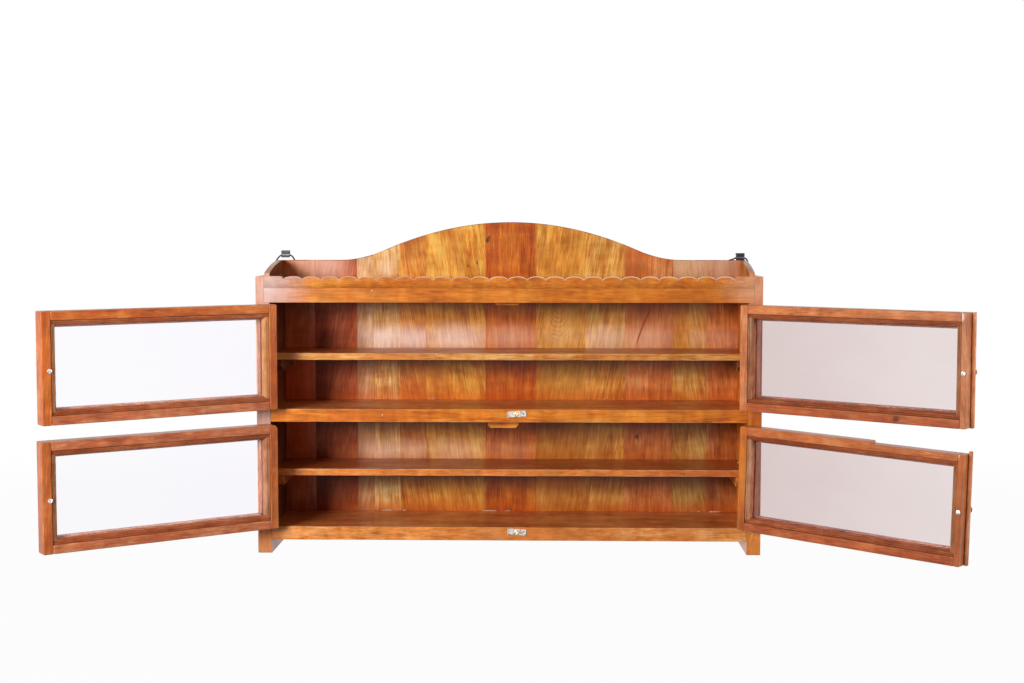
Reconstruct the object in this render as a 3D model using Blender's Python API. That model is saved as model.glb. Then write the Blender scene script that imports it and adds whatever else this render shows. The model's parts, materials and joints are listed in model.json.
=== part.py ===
import math

import bmesh
import bpy
from mathutils import Matrix, Vector

# Wall cabinet with four glazed doors, a gallery tray on top and a camel-back crest.
# Metres. The wall face is y = 0, the front plane is y = -DEPTH, and z = 0 is half way up the middle board.

# carcase
WIDTH = 0.914
DEPTH = 0.180
SIDE_THICKNESS = 0.025
FOOT_HEIGHT = 0.025
BOTTOM_THICKNESS = 0.0245
LOWER_OPENING = 0.192
MIDDLE_THICKNESS = 0.0235
UPPER_OPENING = 0.193
TOP_THICKNESS = 0.016
TOP_RISE = 0.008
SHELF_THICKNESS = 0.013
SHELF_SETBACK = 0.032
LOWER_SHELF_HEIGHT = 0.1015
UPPER_SHELF_HEIGHT = 0.0995
CLEAT_HEIGHT = 0.020
CLEAT_THICKNESS = 0.015
CLEAT_BEVEL = 0.010
CLEAT_SETBACK = 0.008
BACK_THICKNESS = 0.012
BACK_REBATE = 0.0125
FOOT_ROUND = 0.003

# gallery
RAIL_HEIGHT = 0.0475
RAIL_THICKNESS = 0.018
RAIL_LAP = 0.010
SCALLOP_COUNT = 24
SCALLOP_RISE = 0.007
RAIL_END_FLAT = 0.050
CREST_END_RISE = 0.0265
CREST_RISE = 0.072
CREST_HALF_SPAN = 0.328
CREST_CROWN_SPAN = 0.240
GALLERY_SIDE = 0.010
GALLERY_BULGE = 1.85
GALLERY_ROOT = 0.004

# door stops
STOP_THICKNESS = 0.0135
STOP_DEPTH = 0.018
STOP_BEVEL = 0.005
UPPER_STOP_WIDTH = 0.048
UPPER_STOP_OFFSET = -0.0025
LOWER_STOP_WIDTH = 0.056
LOWER_STOP_OFFSET = -0.010

# doors
DOOR_THICKNESS = 0.028
DOOR_GAP = 0.002
HINGE_STILE = 0.027
LEFT_MEETING_STILE = 0.0283
RIGHT_MEETING_STILE = 0.0218
DOOR_RAIL = 0.0275
REBATE = 0.012
LIP_THICKNESS = 0.010
GLASS_THICKNESS = 0.003
GLASS_CLEARANCE = 0.001
BEAD_WIDTH = 0.0085
BEAD_GAP = 0.0006
BEAD_RECESS = 0.002
BEAD_ROUND = 0.003
ARRIS = 0.0015
MEETING_OFFSET = -0.0018
MEETING_GAP = 0.0042
ASTRAGAL_WIDTH = 0.0055
ASTRAGAL_THICKNESS = 0.0085
ASTRAGAL_ROUND = 0.003
UPPER_LEFT_OPENING = math.radians(143.3)
UPPER_RIGHT_OPENING = math.radians(142.3)
LOWER_LEFT_OPENING = math.radians(144.3)
LOWER_RIGHT_OPENING = math.radians(141.3)
SAGGING_HINGE_LEAN = math.radians(0.70)

# knobs
KNOB_LENGTH = 0.0145
KNOB_HEAD_RADIUS = 0.007
KNOB_HEAD_LENGTH = 0.0065
KNOB_NECK_RADIUS = 0.0031
KNOB_BASE_RADIUS = 0.0037
LEFT_KNOB_INSET = 0.0128
RIGHT_KNOB_INSET = 0.0048
KNOB_DROP = 0.004
SCREW_RADIUS = 0.0018
SCREW_HEAD_RADIUS = 0.0040
SCREW_HEAD_HEIGHT = 0.0016
SCREW_BITE = 0.0095

# hinges
HINGE_GAP = 0.0034
HINGE_HEIGHT = 0.038
HINGE_INSET = 0.022
LEAF_WIDTH = 0.019
LEAF_THICKNESS = 0.0014
KNUCKLE_RADIUS = 0.0030
KNUCKLE_PROUD = 0.0032
KNUCKLE_CLEARANCE = 0.0002
PIN_RADIUS = 0.0012
PIN_CLEARANCE = 0.00008

# turn buttons
BUTTON_LENGTH = 0.034
BUTTON_HEIGHT = 0.011
BUTTON_THICKNESS = 0.0012
BUTTON_STANDOFF = 0.0010
BUTTON_TAB = 0.0045
BUTTON_OFFSET = 0.0157
BUTTON_DROP = 0.0080
BUTTON_TILT = math.radians(4)
BUTTON_HEAD_RADIUS = 0.0040
BUTTON_HEAD_HEIGHT = 0.0016
BUTTON_SCREW_RADIUS = 0.0018
BUTTON_SCREW_LENGTH = 0.014

# wall hangers
HANGER_INSET = 0.025
HANGER_DROP = 0.008
HANGER_WIRE_RADIUS = 0.0015
HANGER_RING_HEIGHT = 0.0255
HANGER_BASE_HALF = 0.0195
HANGER_APEX_HALF = 0.0080
HANGER_CORNER = 0.004
SADDLE_WIDTH = 0.018
SADDLE_HEIGHT = 0.012
SADDLE_DEPTH = 0.006
STRAP_THICKNESS = 0.0010
STRAP_WIDTH = 0.014
STRAP_LENGTH = 0.028
STRAP_CLEARANCE = 0.0002
POCKET_MARGIN = 0.001

# fits
JOINT_GAP = 0.00025
HOLE_CLEARANCE = 0.0003
ROUND_SIDES = 16

# derived levels
X_OUT = WIDTH / 2
X_IN = X_OUT - SIDE_THICKNESS
Y_FRONT = -DEPTH
Y_PLANK = -BACK_THICKNESS
Z_FLOOR = -(FOOT_HEIGHT + BOTTOM_THICKNESS + LOWER_OPENING + MIDDLE_THICKNESS / 2)
Z_BOTTOM = Z_FLOOR + FOOT_HEIGHT
Z_BOTTOM_TOP = Z_BOTTOM + BOTTOM_THICKNESS
Z_MIDDLE = Z_BOTTOM_TOP + LOWER_OPENING
Z_MIDDLE_TOP = Z_MIDDLE + MIDDLE_THICKNESS
Z_RAIL = Z_MIDDLE_TOP + UPPER_OPENING
Z_RAIL_TOP = Z_RAIL + RAIL_HEIGHT
Z_TRAY = Z_RAIL + TOP_RISE
Z_CREST_END = Z_RAIL_TOP + CREST_END_RISE
STRAP_LOOP = HANGER_WIRE_RADIUS + STRAP_CLEARANCE + STRAP_THICKNESS
Y_HANGER = -(max(STRAP_LOOP, SADDLE_DEPTH / 2) + JOINT_GAP)
Z_HANGER = Z_CREST_END - HANGER_DROP

COLOURS = {
    "carcase": (0.42, 0.17, 0.05, 1),
    "gold": (0.55, 0.27, 0.07, 1),
    "door": (0.36, 0.12, 0.04, 1),
    "bead": (0.30, 0.10, 0.04, 1),
    "glass": (0.86, 0.88, 0.90, 0.3),
    "steel": (0.55, 0.55, 0.56, 1),
    "black": (0.03, 0.03, 0.035, 1),
}


def clear_scene():
    for old in list(bpy.data.objects):
        bpy.data.objects.remove(old, do_unlink=True)


def new_object(name, bm, parent=None):
    bmesh.ops.recalc_face_normals(bm, faces=bm.faces)
    mesh = bpy.data.meshes.new(name)
    bm.to_mesh(mesh)
    bm.free()
    obj = bpy.data.objects.new(name, mesh)
    bpy.context.scene.collection.objects.link(obj)
    if parent is not None:
        obj.parent = parent
    return obj


def paint(obj, colour):
    mat = bpy.data.materials.new(obj.name + "_material")
    mat.use_nodes = True
    shader = mat.node_tree.nodes["Principled BSDF"]
    shader.inputs["Base Color"].default_value = COLOURS[colour]
    shader.inputs["Roughness"].default_value = 0.35
    shader.inputs["Metallic"].default_value = 1.0 if colour == "steel" else 0.0
    obj.data.materials.append(mat)
    return obj


def place(axis, a, b, c):
    # a and b run in the outline's plane, c along the extrusion
    return {"x": (c, a, b), "y": (a, c, b), "z": (a, b, c)}[axis]


def prism(name, outline, axis, start, end, parent=None):
    bm = bmesh.new()
    low = [bm.verts.new(place(axis, a, b, start)) for a, b in outline]
    high = [bm.verts.new(place(axis, a, b, end)) for a, b in outline]
    bm.faces.new(low)
    bm.faces.new(high)
    for i in range(len(outline)):
        j = (i + 1) % len(outline)
        bm.faces.new((low[i], low[j], high[j], high[i]))
    return new_object(name, bm, parent)


def box(name, low, high, parent=None):
    outline = [(low[0], low[1]), (high[0], low[1]), (high[0], high[1]), (low[0], high[1])]
    return prism(name, outline, "z", low[2], high[2], parent)


def lathe(name, profile, axis, centre, parent=None, sides=ROUND_SIDES):
    # profile: (radius, position along the axis), from one end on the axis to the other
    bm = bmesh.new()
    rings = []
    for radius, along in profile:
        ring = []
        steps = sides if radius > 0 else 1
        for k in range(steps):
            turn = 2 * math.pi * k / sides
            point = Vector(place(axis, radius * math.cos(turn), radius * math.sin(turn), along))
            ring.append(bm.verts.new(point + Vector(centre)))
        rings.append(ring)
    for one, two in zip(rings, rings[1:]):
        for k in range(sides):
            n = (k + 1) % sides
            if len(one) == 1:
                bm.faces.new((one[0], two[k], two[n]))
            elif len(two) == 1:
                bm.faces.new((one[k], one[n], two[0]))
            else:
                bm.faces.new((one[k], one[n], two[n], two[k]))
    return new_object(name, bm, parent)


def frame_ring(name, rings, parent=None):
    # rings: (s0, s1, z0, z1, y) rectangles, joined in turn and back to the first
    bm = bmesh.new()
    loops = []
    for s0, s1, z0, z1, y in rings:
        corners = ((s0, z0), (s1, z0), (s1, z1), (s0, z1))
        loops.append([bm.verts.new((s, y, z)) for s, z in corners])
    for i, one in enumerate(loops):
        two = loops[(i + 1) % len(loops)]
        for k in range(4):
            n = (k + 1) % 4
            bm.faces.new((one[k], one[n], two[n], two[k]))
    return new_object(name, bm, parent)


def combine(obj, tool, operation):
    # adds or cuts a tool solid, which stays in the file as a hidden outline
    mod = obj.modifiers.new(operation.lower() + "_" + tool.name, "BOOLEAN")
    mod.operation = operation
    mod.object = tool
    mod.solver = "EXACT"
    tool.hide_render = True
    tool.display_type = "WIRE"
    return obj


def arc(centre, radius_a, radius_b, start, end, steps):
    points = []
    for k in range(steps + 1):
        turn = math.radians(start + (end - start) * k / steps)
        points.append((centre[0] + radius_a * math.cos(turn), centre[1] + radius_b * math.sin(turn)))
    return points


def round_hole(radius, sides=ROUND_SIDES):
    # corner radius of a many-sided hole whose flats lie at the given radius
    return radius / math.cos(math.pi / sides)


def hanger_pocket(target, side, hand):
    # recess for a wall hanger, open at the back and the top, so that nothing stands behind the wall face
    middle = hand * (X_OUT - HANGER_INSET)
    half = HANGER_BASE_HALF + HANGER_WIRE_RADIUS + POCKET_MARGIN
    floor = Y_HANGER - STRAP_LOOP - JOINT_GAP
    low = Z_HANGER - STRAP_LENGTH - POCKET_MARGIN
    spill = 0.005
    tool = box(
        target.name + "_" + side + "_pocket_tool",
        (middle - half, floor, low),
        (middle + half, spill, Z_CREST_END + spill),
    )
    combine(target, tool, "DIFFERENCE")


def gallery_side(name, hand):
    # thin convex fin that carries the gallery from behind the rail up to the crest's end
    front = Y_FRONT + RAIL_THICKNESS + JOINT_GAP
    back = Y_PLANK - JOINT_GAP
    outline = [(back, Z_RAIL_TOP - GALLERY_ROOT), (front, Z_RAIL_TOP - GALLERY_ROOT)]
    steps = 10
    for k in range(steps + 1):
        y = front + (back - front) * k / steps
        share = (y - Y_FRONT) / (back - Y_FRONT)
        outline.append((y, Z_RAIL_TOP + CREST_END_RISE * (1 - (1 - share) ** GALLERY_BULGE)))
    outer = X_OUT - BACK_REBATE
    return prism(name + "_fin_tool", outline, "x", hand * (outer - GALLERY_SIDE), hand * outer)


def side_panel(name, hand):
    sole = Z_FLOOR + FOOT_ROUND
    foot = arc((-FOOT_ROUND, sole), FOOT_ROUND, FOOT_ROUND, 0, -90, 3)
    toe = arc((Y_FRONT + FOOT_ROUND, sole), FOOT_ROUND, FOOT_ROUND, -90, -180, 3)
    top = [(Y_FRONT, Z_RAIL_TOP), (0, Z_RAIL_TOP)]
    panel = prism(name, top + foot + toe, "x", hand * X_IN, hand * X_OUT)
    spill = 0.005
    lap = box(
        name + "_lap_tool",
        (min(hand * (X_IN - spill), hand * (X_IN + RAIL_LAP)), Y_FRONT - spill, Z_RAIL),
        (max(hand * (X_IN - spill), hand * (X_IN + RAIL_LAP)), Y_FRONT + RAIL_THICKNESS, Z_RAIL_TOP + spill),
    )
    combine(panel, lap, "DIFFERENCE")
    rebate_x = X_OUT - BACK_REBATE
    rebate = box(
        name + "_rebate_tool",
        (min(hand * (X_IN - spill), hand * rebate_x), Y_PLANK, Z_BOTTOM),
        (max(hand * (X_IN - spill), hand * rebate_x), spill, Z_CREST_END + spill),
    )
    combine(panel, rebate, "DIFFERENCE")
    hanger_pocket(panel, "hanger", hand)
    combine(panel, gallery_side(name, hand), "UNION")
    return paint(panel, "carcase")


def crest_height(x):
    run = abs(x)
    shoulder = CREST_RISE * CREST_CROWN_SPAN / CREST_HALF_SPAN
    if run >= CREST_HALF_SPAN:
        return Z_CREST_END
    if run <= CREST_CROWN_SPAN:
        return Z_CREST_END + CREST_RISE - shoulder * (run / CREST_CROWN_SPAN) ** 2
    tail = (CREST_HALF_SPAN - run) / (CREST_HALF_SPAN - CREST_CROWN_SPAN)
    return Z_CREST_END + (CREST_RISE - shoulder) * tail ** 2


def back_panel():
    half = X_OUT - BACK_REBATE - JOINT_GAP
    outline = [(-half, Z_BOTTOM + JOINT_GAP), (half, Z_BOTTOM + JOINT_GAP), (half, Z_CREST_END)]
    steps = 40
    for k in range(steps + 1):
        x = CREST_HALF_SPAN * (1 - 2 * k / steps)
        outline.append((x, crest_height(x)))
    outline.append((-half, Z_CREST_END))
    panel = prism("back_panel", outline, "y", Y_PLANK + JOINT_GAP, 0)
    hanger_pocket(panel, "left", -1)
    hanger_pocket(panel, "right", 1)
    return paint(panel, "gold")


def gallery_rail():
    half = X_IN + RAIL_LAP - JOINT_GAP
    low = Z_RAIL + JOINT_GAP
    outline = [(-half, low), (half, low), (half, Z_RAIL_TOP)]
    first = X_OUT - RAIL_END_FLAT
    pitch = 2 * first / SCALLOP_COUNT
    notch = Z_RAIL_TOP - SCALLOP_RISE
    outline += arc((first + SCALLOP_RISE, notch), SCALLOP_RISE, SCALLOP_RISE, 90, 180, 4)[:-1]
    for i in range(SCALLOP_COUNT):
        centre = first - pitch * (i + 0.5)
        points = arc((centre, notch), pitch / 2, SCALLOP_RISE, 0, 180, 8)
        outline += points[:-1]
    outline += [(-first, notch)]
    outline += arc((-first - SCALLOP_RISE, notch), SCALLOP_RISE, SCALLOP_RISE, 0, 90, 4)[1:]
    outline.append((-half, Z_RAIL_TOP))
    back = Y_FRONT + RAIL_THICKNESS - JOINT_GAP
    return paint(prism("gallery_front_rail", outline, "y", Y_FRONT, back), "carcase")


def board(name, z0, z1, front):
    half = X_IN - JOINT_GAP
    return paint(box(name, (-half, front, z0), (half, Y_PLANK - JOINT_GAP, z1)), "carcase")


def bore_board(target, z):
    # pilot hole for a turn button's screw in the board's front edge
    radius = round_hole(BUTTON_SCREW_RADIUS + HOLE_CLEARANCE)
    depth = BUTTON_SCREW_LENGTH + 2 * HOLE_CLEARANCE
    spill = 0.002
    profile = [(0, -spill), (radius, -spill), (radius, depth), (0, depth)]
    tool = lathe(target.name + "_bore_tool", profile, "y", (BUTTON_OFFSET, Y_FRONT, z))
    combine(target, tool, "DIFFERENCE")


def shelf_with_cleats(name, top):
    bottom = top - SHELF_THICKNESS
    board(name, bottom, top, Y_FRONT + SHELF_SETBACK)
    front = Y_FRONT + SHELF_SETBACK + CLEAT_SETBACK
    back = Y_PLANK - JOINT_GAP
    high = bottom - JOINT_GAP
    low = high - CLEAT_HEIGHT
    outline = [(front, high), (front, high - CLEAT_HEIGHT + CLEAT_BEVEL), (front + CLEAT_BEVEL, low)]
    outline += [(back, low), (back, high)]
    for side, hand in (("left", -1), ("right", 1)):
        outer = hand * (X_IN - JOINT_GAP)
        inner = hand * (X_IN - JOINT_GAP - CLEAT_THICKNESS)
        paint(prism(side + "_" + name + "_cleat", outline, "x", outer, inner), "carcase")


def door_stop(name, offset, width, board_under):
    high = board_under - JOINT_GAP
    low = high - STOP_THICKNESS
    half = width / 2
    outline = [(offset - half, high), (offset - half, low + STOP_BEVEL), (offset - half + STOP_BEVEL, low)]
    outline += [(offset + half - STOP_BEVEL, low), (offset + half, low + STOP_BEVEL), (offset + half, high)]
    front = Y_FRONT + DOOR_THICKNESS + JOINT_GAP
    return paint(prism(name, outline, "y", front, front + STOP_DEPTH), "carcase")


def hinge_axis(name, hand, turn, lean, middle):
    # an empty at a door's hinge, turned about a pin line that leans outwards through the middle height
    line = Vector((-hand * math.tan(lean), 0, 1))
    lift = Matrix.Translation((0, 0, middle))
    spot = Matrix.Translation((-hand * (X_IN - HINGE_GAP / 2), Y_FRONT - KNUCKLE_PROUD, 0))
    axis = bpy.data.objects.new(name, None)
    bpy.context.scene.collection.objects.link(axis)
    axis.matrix_world = spot @ lift @ Matrix.Rotation(turn, 4, line) @ lift.inverted()
    return axis


def pin_line(axis, hand, lean, middle):
    # an empty on a hinge axis, with its upright along the leaning pin
    lift = Matrix.Translation((0, 0, middle))
    pin = bpy.data.objects.new(axis.name + "_pin", None)
    bpy.context.scene.collection.objects.link(pin)
    pin.parent = axis
    pin.matrix_basis = lift @ Matrix.Rotation(-hand * lean, 4, "Y") @ lift.inverted()
    return pin


def hinge_leaf(name, hand, z, fixed, parent, pin):
    # plate in the hinge gap, which stays upright, and knuckles on the pin line
    away = -hand if fixed else hand
    play = (HINGE_GAP / 2 - LEAF_THICKNESS) / 2
    inner = away * play
    outer = away * (play + LEAF_THICKNESS)
    third = HINGE_HEIGHT / 3
    low = z - HINGE_HEIGHT / 2
    high = z + HINGE_HEIGHT / 2
    root = KNUCKLE_RADIUS + KNUCKLE_CLEARANCE
    tip = KNUCKLE_PROUD + LEAF_WIDTH
    reach = PIN_RADIUS + (KNUCKLE_RADIUS - PIN_RADIUS) / 2
    cut_low = low + third
    cut_high = high - third
    if fixed:
        outline = [(reach, low), (tip, low), (tip, high), (reach, high), (reach, cut_high + KNUCKLE_CLEARANCE)]
        outline += [(root, cut_high + KNUCKLE_CLEARANCE), (root, cut_low - KNUCKLE_CLEARANCE)]
        outline += [(reach, cut_low - KNUCKLE_CLEARANCE)]
        barrel = [
            (0, low),
            (KNUCKLE_RADIUS, low),
            (KNUCKLE_RADIUS, cut_low - KNUCKLE_CLEARANCE),
            (PIN_RADIUS, cut_low - KNUCKLE_CLEARANCE),
            (PIN_RADIUS, cut_high + KNUCKLE_CLEARANCE),
            (KNUCKLE_RADIUS, cut_high + KNUCKLE_CLEARANCE),
            (KNUCKLE_RADIUS, high),
            (0, high),
        ]
    else:
        outline = [(root, low), (tip, low), (tip, high), (root, high), (root, cut_high)]
        outline += [(reach, cut_high), (reach, cut_low), (root, cut_low)]
        barrel = [(0, cut_low), (KNUCKLE_RADIUS, cut_low), (KNUCKLE_RADIUS, cut_high), (0, cut_high)]
    leaf = prism(name, outline, "x", inner, outer, parent)
    combine(leaf, lathe(name + "_knuckle_tool", barrel, "z", (0, 0, 0), pin), "UNION")
    if not fixed:
        radius = round_hole(PIN_RADIUS + PIN_CLEARANCE)
        spill = third / 4
        hole = [(0, cut_low - spill), (radius, cut_low - spill), (radius, cut_high + spill), (0, cut_high + spill)]
        combine(leaf, lathe(name + "_pin_tool", hole, "z", (0, 0, 0), pin), "DIFFERENCE")
    return paint(leaf, "steel")


def knob(name, hand, s, z, parent):
    base = KNUCKLE_PROUD - JOINT_GAP
    head = base - KNOB_LENGTH + KNOB_HEAD_LENGTH
    tip = base - KNOB_LENGTH
    bore = round_hole(SCREW_RADIUS + HOLE_CLEARANCE)
    floor = base - SCREW_BITE - HOLE_CLEARANCE
    flange = KNOB_BASE_RADIUS / 2
    profile = [(0, floor), (bore, floor), (bore, base), (KNOB_BASE_RADIUS, base)]
    profile += [(KNOB_BASE_RADIUS, base - flange), (KNOB_NECK_RADIUS, base - 2 * flange)]
    profile += [(KNOB_NECK_RADIUS, head + flange)]
    crown = (head + tip) / 2
    half = KNOB_HEAD_LENGTH / 2
    for turn in range(60, -91, -25):
        angle = math.radians(turn)
        profile.append((KNOB_HEAD_RADIUS * math.cos(angle), crown + half * math.sin(angle)))
    profile[-1] = (0, tip)
    paint(lathe(name, profile, "y", (hand * s, 0, z), parent), "door")


def knob_screw(name, hand, s, z, parent):
    face = KNUCKLE_PROUD + DOOR_THICKNESS + JOINT_GAP
    end = KNUCKLE_PROUD - JOINT_GAP - SCREW_BITE
    top = face + SCREW_HEAD_HEIGHT
    brim = face + SCREW_HEAD_HEIGHT * 0.4
    profile = [(0, end), (SCREW_RADIUS, end), (SCREW_RADIUS, face), (SCREW_HEAD_RADIUS, face)]
    profile += [(SCREW_HEAD_RADIUS, brim), (SCREW_HEAD_RADIUS * 0.6, top), (0, top)]
    paint(lathe(name, profile, "y", (hand * s, 0, z), parent), "steel")


def rectangle(hand, s0, s1, z0, z1, y, insets):
    # a rectangle inset from the door's outline: hinge side, free side, rails
    hinge, free, rail = insets
    return (hand * (s0 + hinge), hand * (s1 - free), z0 + rail, z1 - rail, y)


def door(level, side, hand, z0, z1, opening, lean):
    name = level + "_" + side
    middle = (z0 + z1) / 2
    pin = hinge_axis(name + "_hinge_axis", hand, -hand * opening, lean, middle)
    fixed_pin = hinge_axis(name + "_fixed_axis", hand, 0, lean, middle)
    moving_line = pin_line(pin, hand, lean, middle)
    fixed_line = pin_line(fixed_pin, hand, lean, middle)

    left = side == "left"
    strip = MEETING_OFFSET + MEETING_GAP + ASTRAGAL_WIDTH + JOINT_GAP
    width = X_IN - HINGE_GAP + (MEETING_OFFSET if left else -strip)
    meeting = LEFT_MEETING_STILE if left else RIGHT_MEETING_STILE
    s0 = HINGE_GAP / 2
    s1 = s0 + width
    y_out = KNUCKLE_PROUD
    y_lip = y_out + LIP_THICKNESS
    y_in = y_out + DOOR_THICKNESS

    sight = (HINGE_STILE, meeting, DOOR_RAIL)
    seat = tuple(v - REBATE for v in sight)
    chamfer = tuple(v - ARRIS for v in seat)
    frame = frame_ring(
        name + "_door_frame",
        [
            rectangle(hand, s0, s1, z0, z1, y_out + ARRIS, (0, 0, 0)),
            rectangle(hand, s0, s1, z0, z1, y_out, (ARRIS, ARRIS, ARRIS)),
            rectangle(hand, s0, s1, z0, z1, y_out, sight),
            rectangle(hand, s0, s1, z0, z1, y_lip, sight),
            rectangle(hand, s0, s1, z0, z1, y_lip, seat),
            rectangle(hand, s0, s1, z0, z1, y_in - ARRIS, seat),
            rectangle(hand, s0, s1, z0, z1, y_in, chamfer),
            rectangle(hand, s0, s1, z0, z1, y_in, (0, 0, 0)),
        ],
        pin,
    )
    knob_s = s1 - (LEFT_KNOB_INSET if left else RIGHT_KNOB_INSET)
    knob_z = middle - KNOB_DROP
    hole = round_hole(SCREW_RADIUS + HOLE_CLEARANCE)
    spill = 0.002
    profile = [(0, y_out - spill), (hole, y_out - spill), (hole, y_in + spill), (0, y_in + spill)]
    tool = lathe(name + "_screw_hole_tool", profile, "y", (hand * knob_s, 0, knob_z), pin)
    combine(frame, tool, "DIFFERENCE")
    paint(frame, "door")

    edge = tuple(v + GLASS_CLEARANCE for v in seat)
    g0, g1, gz0, gz1, y_glass = rectangle(hand, s0, s1, z0, z1, y_lip + JOINT_GAP, edge)
    low = (min(g0, g1), y_glass, gz0)
    high = (max(g0, g1), y_glass + GLASS_THICKNESS, gz1)
    paint(box(name + "_glass", low, high, pin), "glass")

    b_out = tuple(v + BEAD_GAP for v in seat)
    b_in = tuple(v + BEAD_WIDTH for v in b_out)
    b_round = tuple(v - BEAD_ROUND for v in b_in)
    y_bead = y_glass + GLASS_THICKNESS + JOINT_GAP
    y_top = y_in - BEAD_RECESS
    bead = frame_ring(
        name + "_glazing_bead",
        [
            rectangle(hand, s0, s1, z0, z1, y_bead, b_out),
            rectangle(hand, s0, s1, z0, z1, y_bead, b_in),
            rectangle(hand, s0, s1, z0, z1, y_top - BEAD_ROUND, b_in),
            rectangle(hand, s0, s1, z0, z1, y_top, b_round),
            rectangle(hand, s0, s1, z0, z1, y_top, b_out),
        ],
        pin,
    )
    paint(bead, "bead")

    knob(name + "_knob", hand, knob_s, knob_z, pin)
    knob_screw(name + "_knob_screw", hand, knob_s, knob_z, pin)

    for place_name, z in (("top", z1 - HINGE_INSET), ("bottom", z0 + HINGE_INSET)):
        centre = z - HINGE_HEIGHT / 2 if place_name == "top" else z + HINGE_HEIGHT / 2
        hinge = name + "_" + place_name + "_hinge_"
        hinge_leaf(hinge + "fixed_leaf", hand, centre, True, fixed_pin, fixed_line)
        hinge_leaf(hinge + "moving_leaf", hand, centre, False, pin, moving_line)

    if not left:
        # rounded strip on the meeting edge, flush with the outer face
        start = s1 + JOINT_GAP
        nose = start + ASTRAGAL_WIDTH - ASTRAGAL_ROUND
        half = ASTRAGAL_THICKNESS / 2
        outline = [(start, y_out + ASTRAGAL_THICKNESS), (start, y_out)]
        outline += arc((nose, y_out + half), ASTRAGAL_ROUND, half, -90, 90, 8)
        outline = [(hand * s, y) for s, y in outline]
        paint(prism(name + "_astragal", outline, "z", z0, z1, pin), "door")


def turn_button(name, z, tilt):
    axis = bpy.data.objects.new(name + "_axis", None)
    bpy.context.scene.collection.objects.link(axis)
    axis.location = (BUTTON_OFFSET, Y_FRONT, z)
    axis.rotation_euler = (0, -tilt, 0)
    half = BUTTON_LENGTH / 2
    near = -BUTTON_STANDOFF
    far = near - BUTTON_THICKNESS
    bent = far - BUTTON_TAB
    outline = [(half, near), (half, far), (-half + BUTTON_THICKNESS, far), (-half + BUTTON_THICKNESS, bent)]
    outline += [(-half, bent), (-half, near)]
    plate = prism(name, outline, "z", -BUTTON_HEIGHT / 2, BUTTON_HEIGHT / 2, axis)
    head = far - BUTTON_HEAD_HEIGHT
    profile = [(0, BUTTON_SCREW_LENGTH), (BUTTON_SCREW_RADIUS, BUTTON_SCREW_LENGTH)]
    profile += [(BUTTON_SCREW_RADIUS, -JOINT_GAP), (BUTTON_HEAD_RADIUS, -JOINT_GAP)]
    profile += [(BUTTON_HEAD_RADIUS, far - BUTTON_HEAD_HEIGHT * 0.3), (BUTTON_HEAD_RADIUS * 0.6, head), (0, head)]
    combine(plate, lathe(name + "_screw_tool", profile, "y", (0, 0, 0), axis), "UNION")
    return paint(plate, "steel")


def wire_ring(name, path, radius, parent, sides=8):
    # closed loop of round wire in the xz plane
    bm = bmesh.new()
    loops = []
    count = len(path)
    for i in range(count):
        before = (Vector(path[i]) - Vector(path[i - 1])).normalized()
        after = (Vector(path[(i + 1) % count]) - Vector(path[i])).normalized()
        normal = Vector((-(before + after).y, (before + after).x)).normalized()
        stretch = 1 / max(0.5, normal.dot(Vector((-after.y, after.x))))
        loop = []
        for k in range(sides):
            turn = 2 * math.pi * (k + 0.5) / sides
            offset = normal * radius * math.cos(turn) * stretch
            point = Vector(path[i]) + offset
            loop.append(bm.verts.new((point.x, radius * math.sin(turn), point.y)))
        loops.append(loop)
    for i, one in enumerate(loops):
        two = loops[(i + 1) % count]
        for k in range(sides):
            n = (k + 1) % sides
            bm.faces.new((one[k], one[n], two[n], two[k]))
    return new_object(name, bm, parent)


def wall_hanger(side, hand):
    axis = bpy.data.objects.new(side + "_hanger_axis", None)
    bpy.context.scene.collection.objects.link(axis)
    axis.location = (hand * (X_OUT - HANGER_INSET), Y_HANGER, Z_HANGER)

    slope = Vector((HANGER_APEX_HALF - HANGER_BASE_HALF, HANGER_RING_HEIGHT)).normalized()
    cut = HANGER_CORNER
    base, apex, high = HANGER_BASE_HALF, HANGER_APEX_HALF, HANGER_RING_HEIGHT
    right = [(base - cut, 0), (base + slope.x * cut * 0.4, slope.y * cut * 0.4)]
    right += [(apex - slope.x * cut, high - slope.y * cut), (apex - cut * 0.4, high)]
    left = [(-x, z) for x, z in reversed(right)]
    ring = wire_ring(side + "_hanger_ring", right + left, HANGER_WIRE_RADIUS, axis)
    top = high + HANGER_WIRE_RADIUS / 2
    half = SADDLE_WIDTH / 2
    bevel = SADDLE_DEPTH / 4
    outline = [(-SADDLE_DEPTH / 2, top - SADDLE_HEIGHT), (SADDLE_DEPTH / 2, top - SADDLE_HEIGHT)]
    outline += [(SADDLE_DEPTH / 2, top - bevel), (SADDLE_DEPTH / 2 - bevel, top)]
    outline += [(-SADDLE_DEPTH / 2 + bevel, top), (-SADDLE_DEPTH / 2, top - bevel)]
    saddle = prism(side + "_saddle_tool", outline, "x", -half, half, axis)
    combine(ring, saddle, "UNION")
    paint(ring, "black")

    bore = STRAP_LOOP - STRAP_THICKNESS
    outline = arc((0, 0), STRAP_LOOP, STRAP_LOOP, 180, -60, 12)
    outline += arc((0, 0), bore, bore, -60, 180, 12)
    outline += [(-bore, -STRAP_LENGTH), (-STRAP_LOOP, -STRAP_LENGTH)]
    strap = prism(side + "_hanger_plate", outline, "x", -STRAP_WIDTH / 2, STRAP_WIDTH / 2)
    strap.location = axis.location
    paint(strap, "black")


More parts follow.
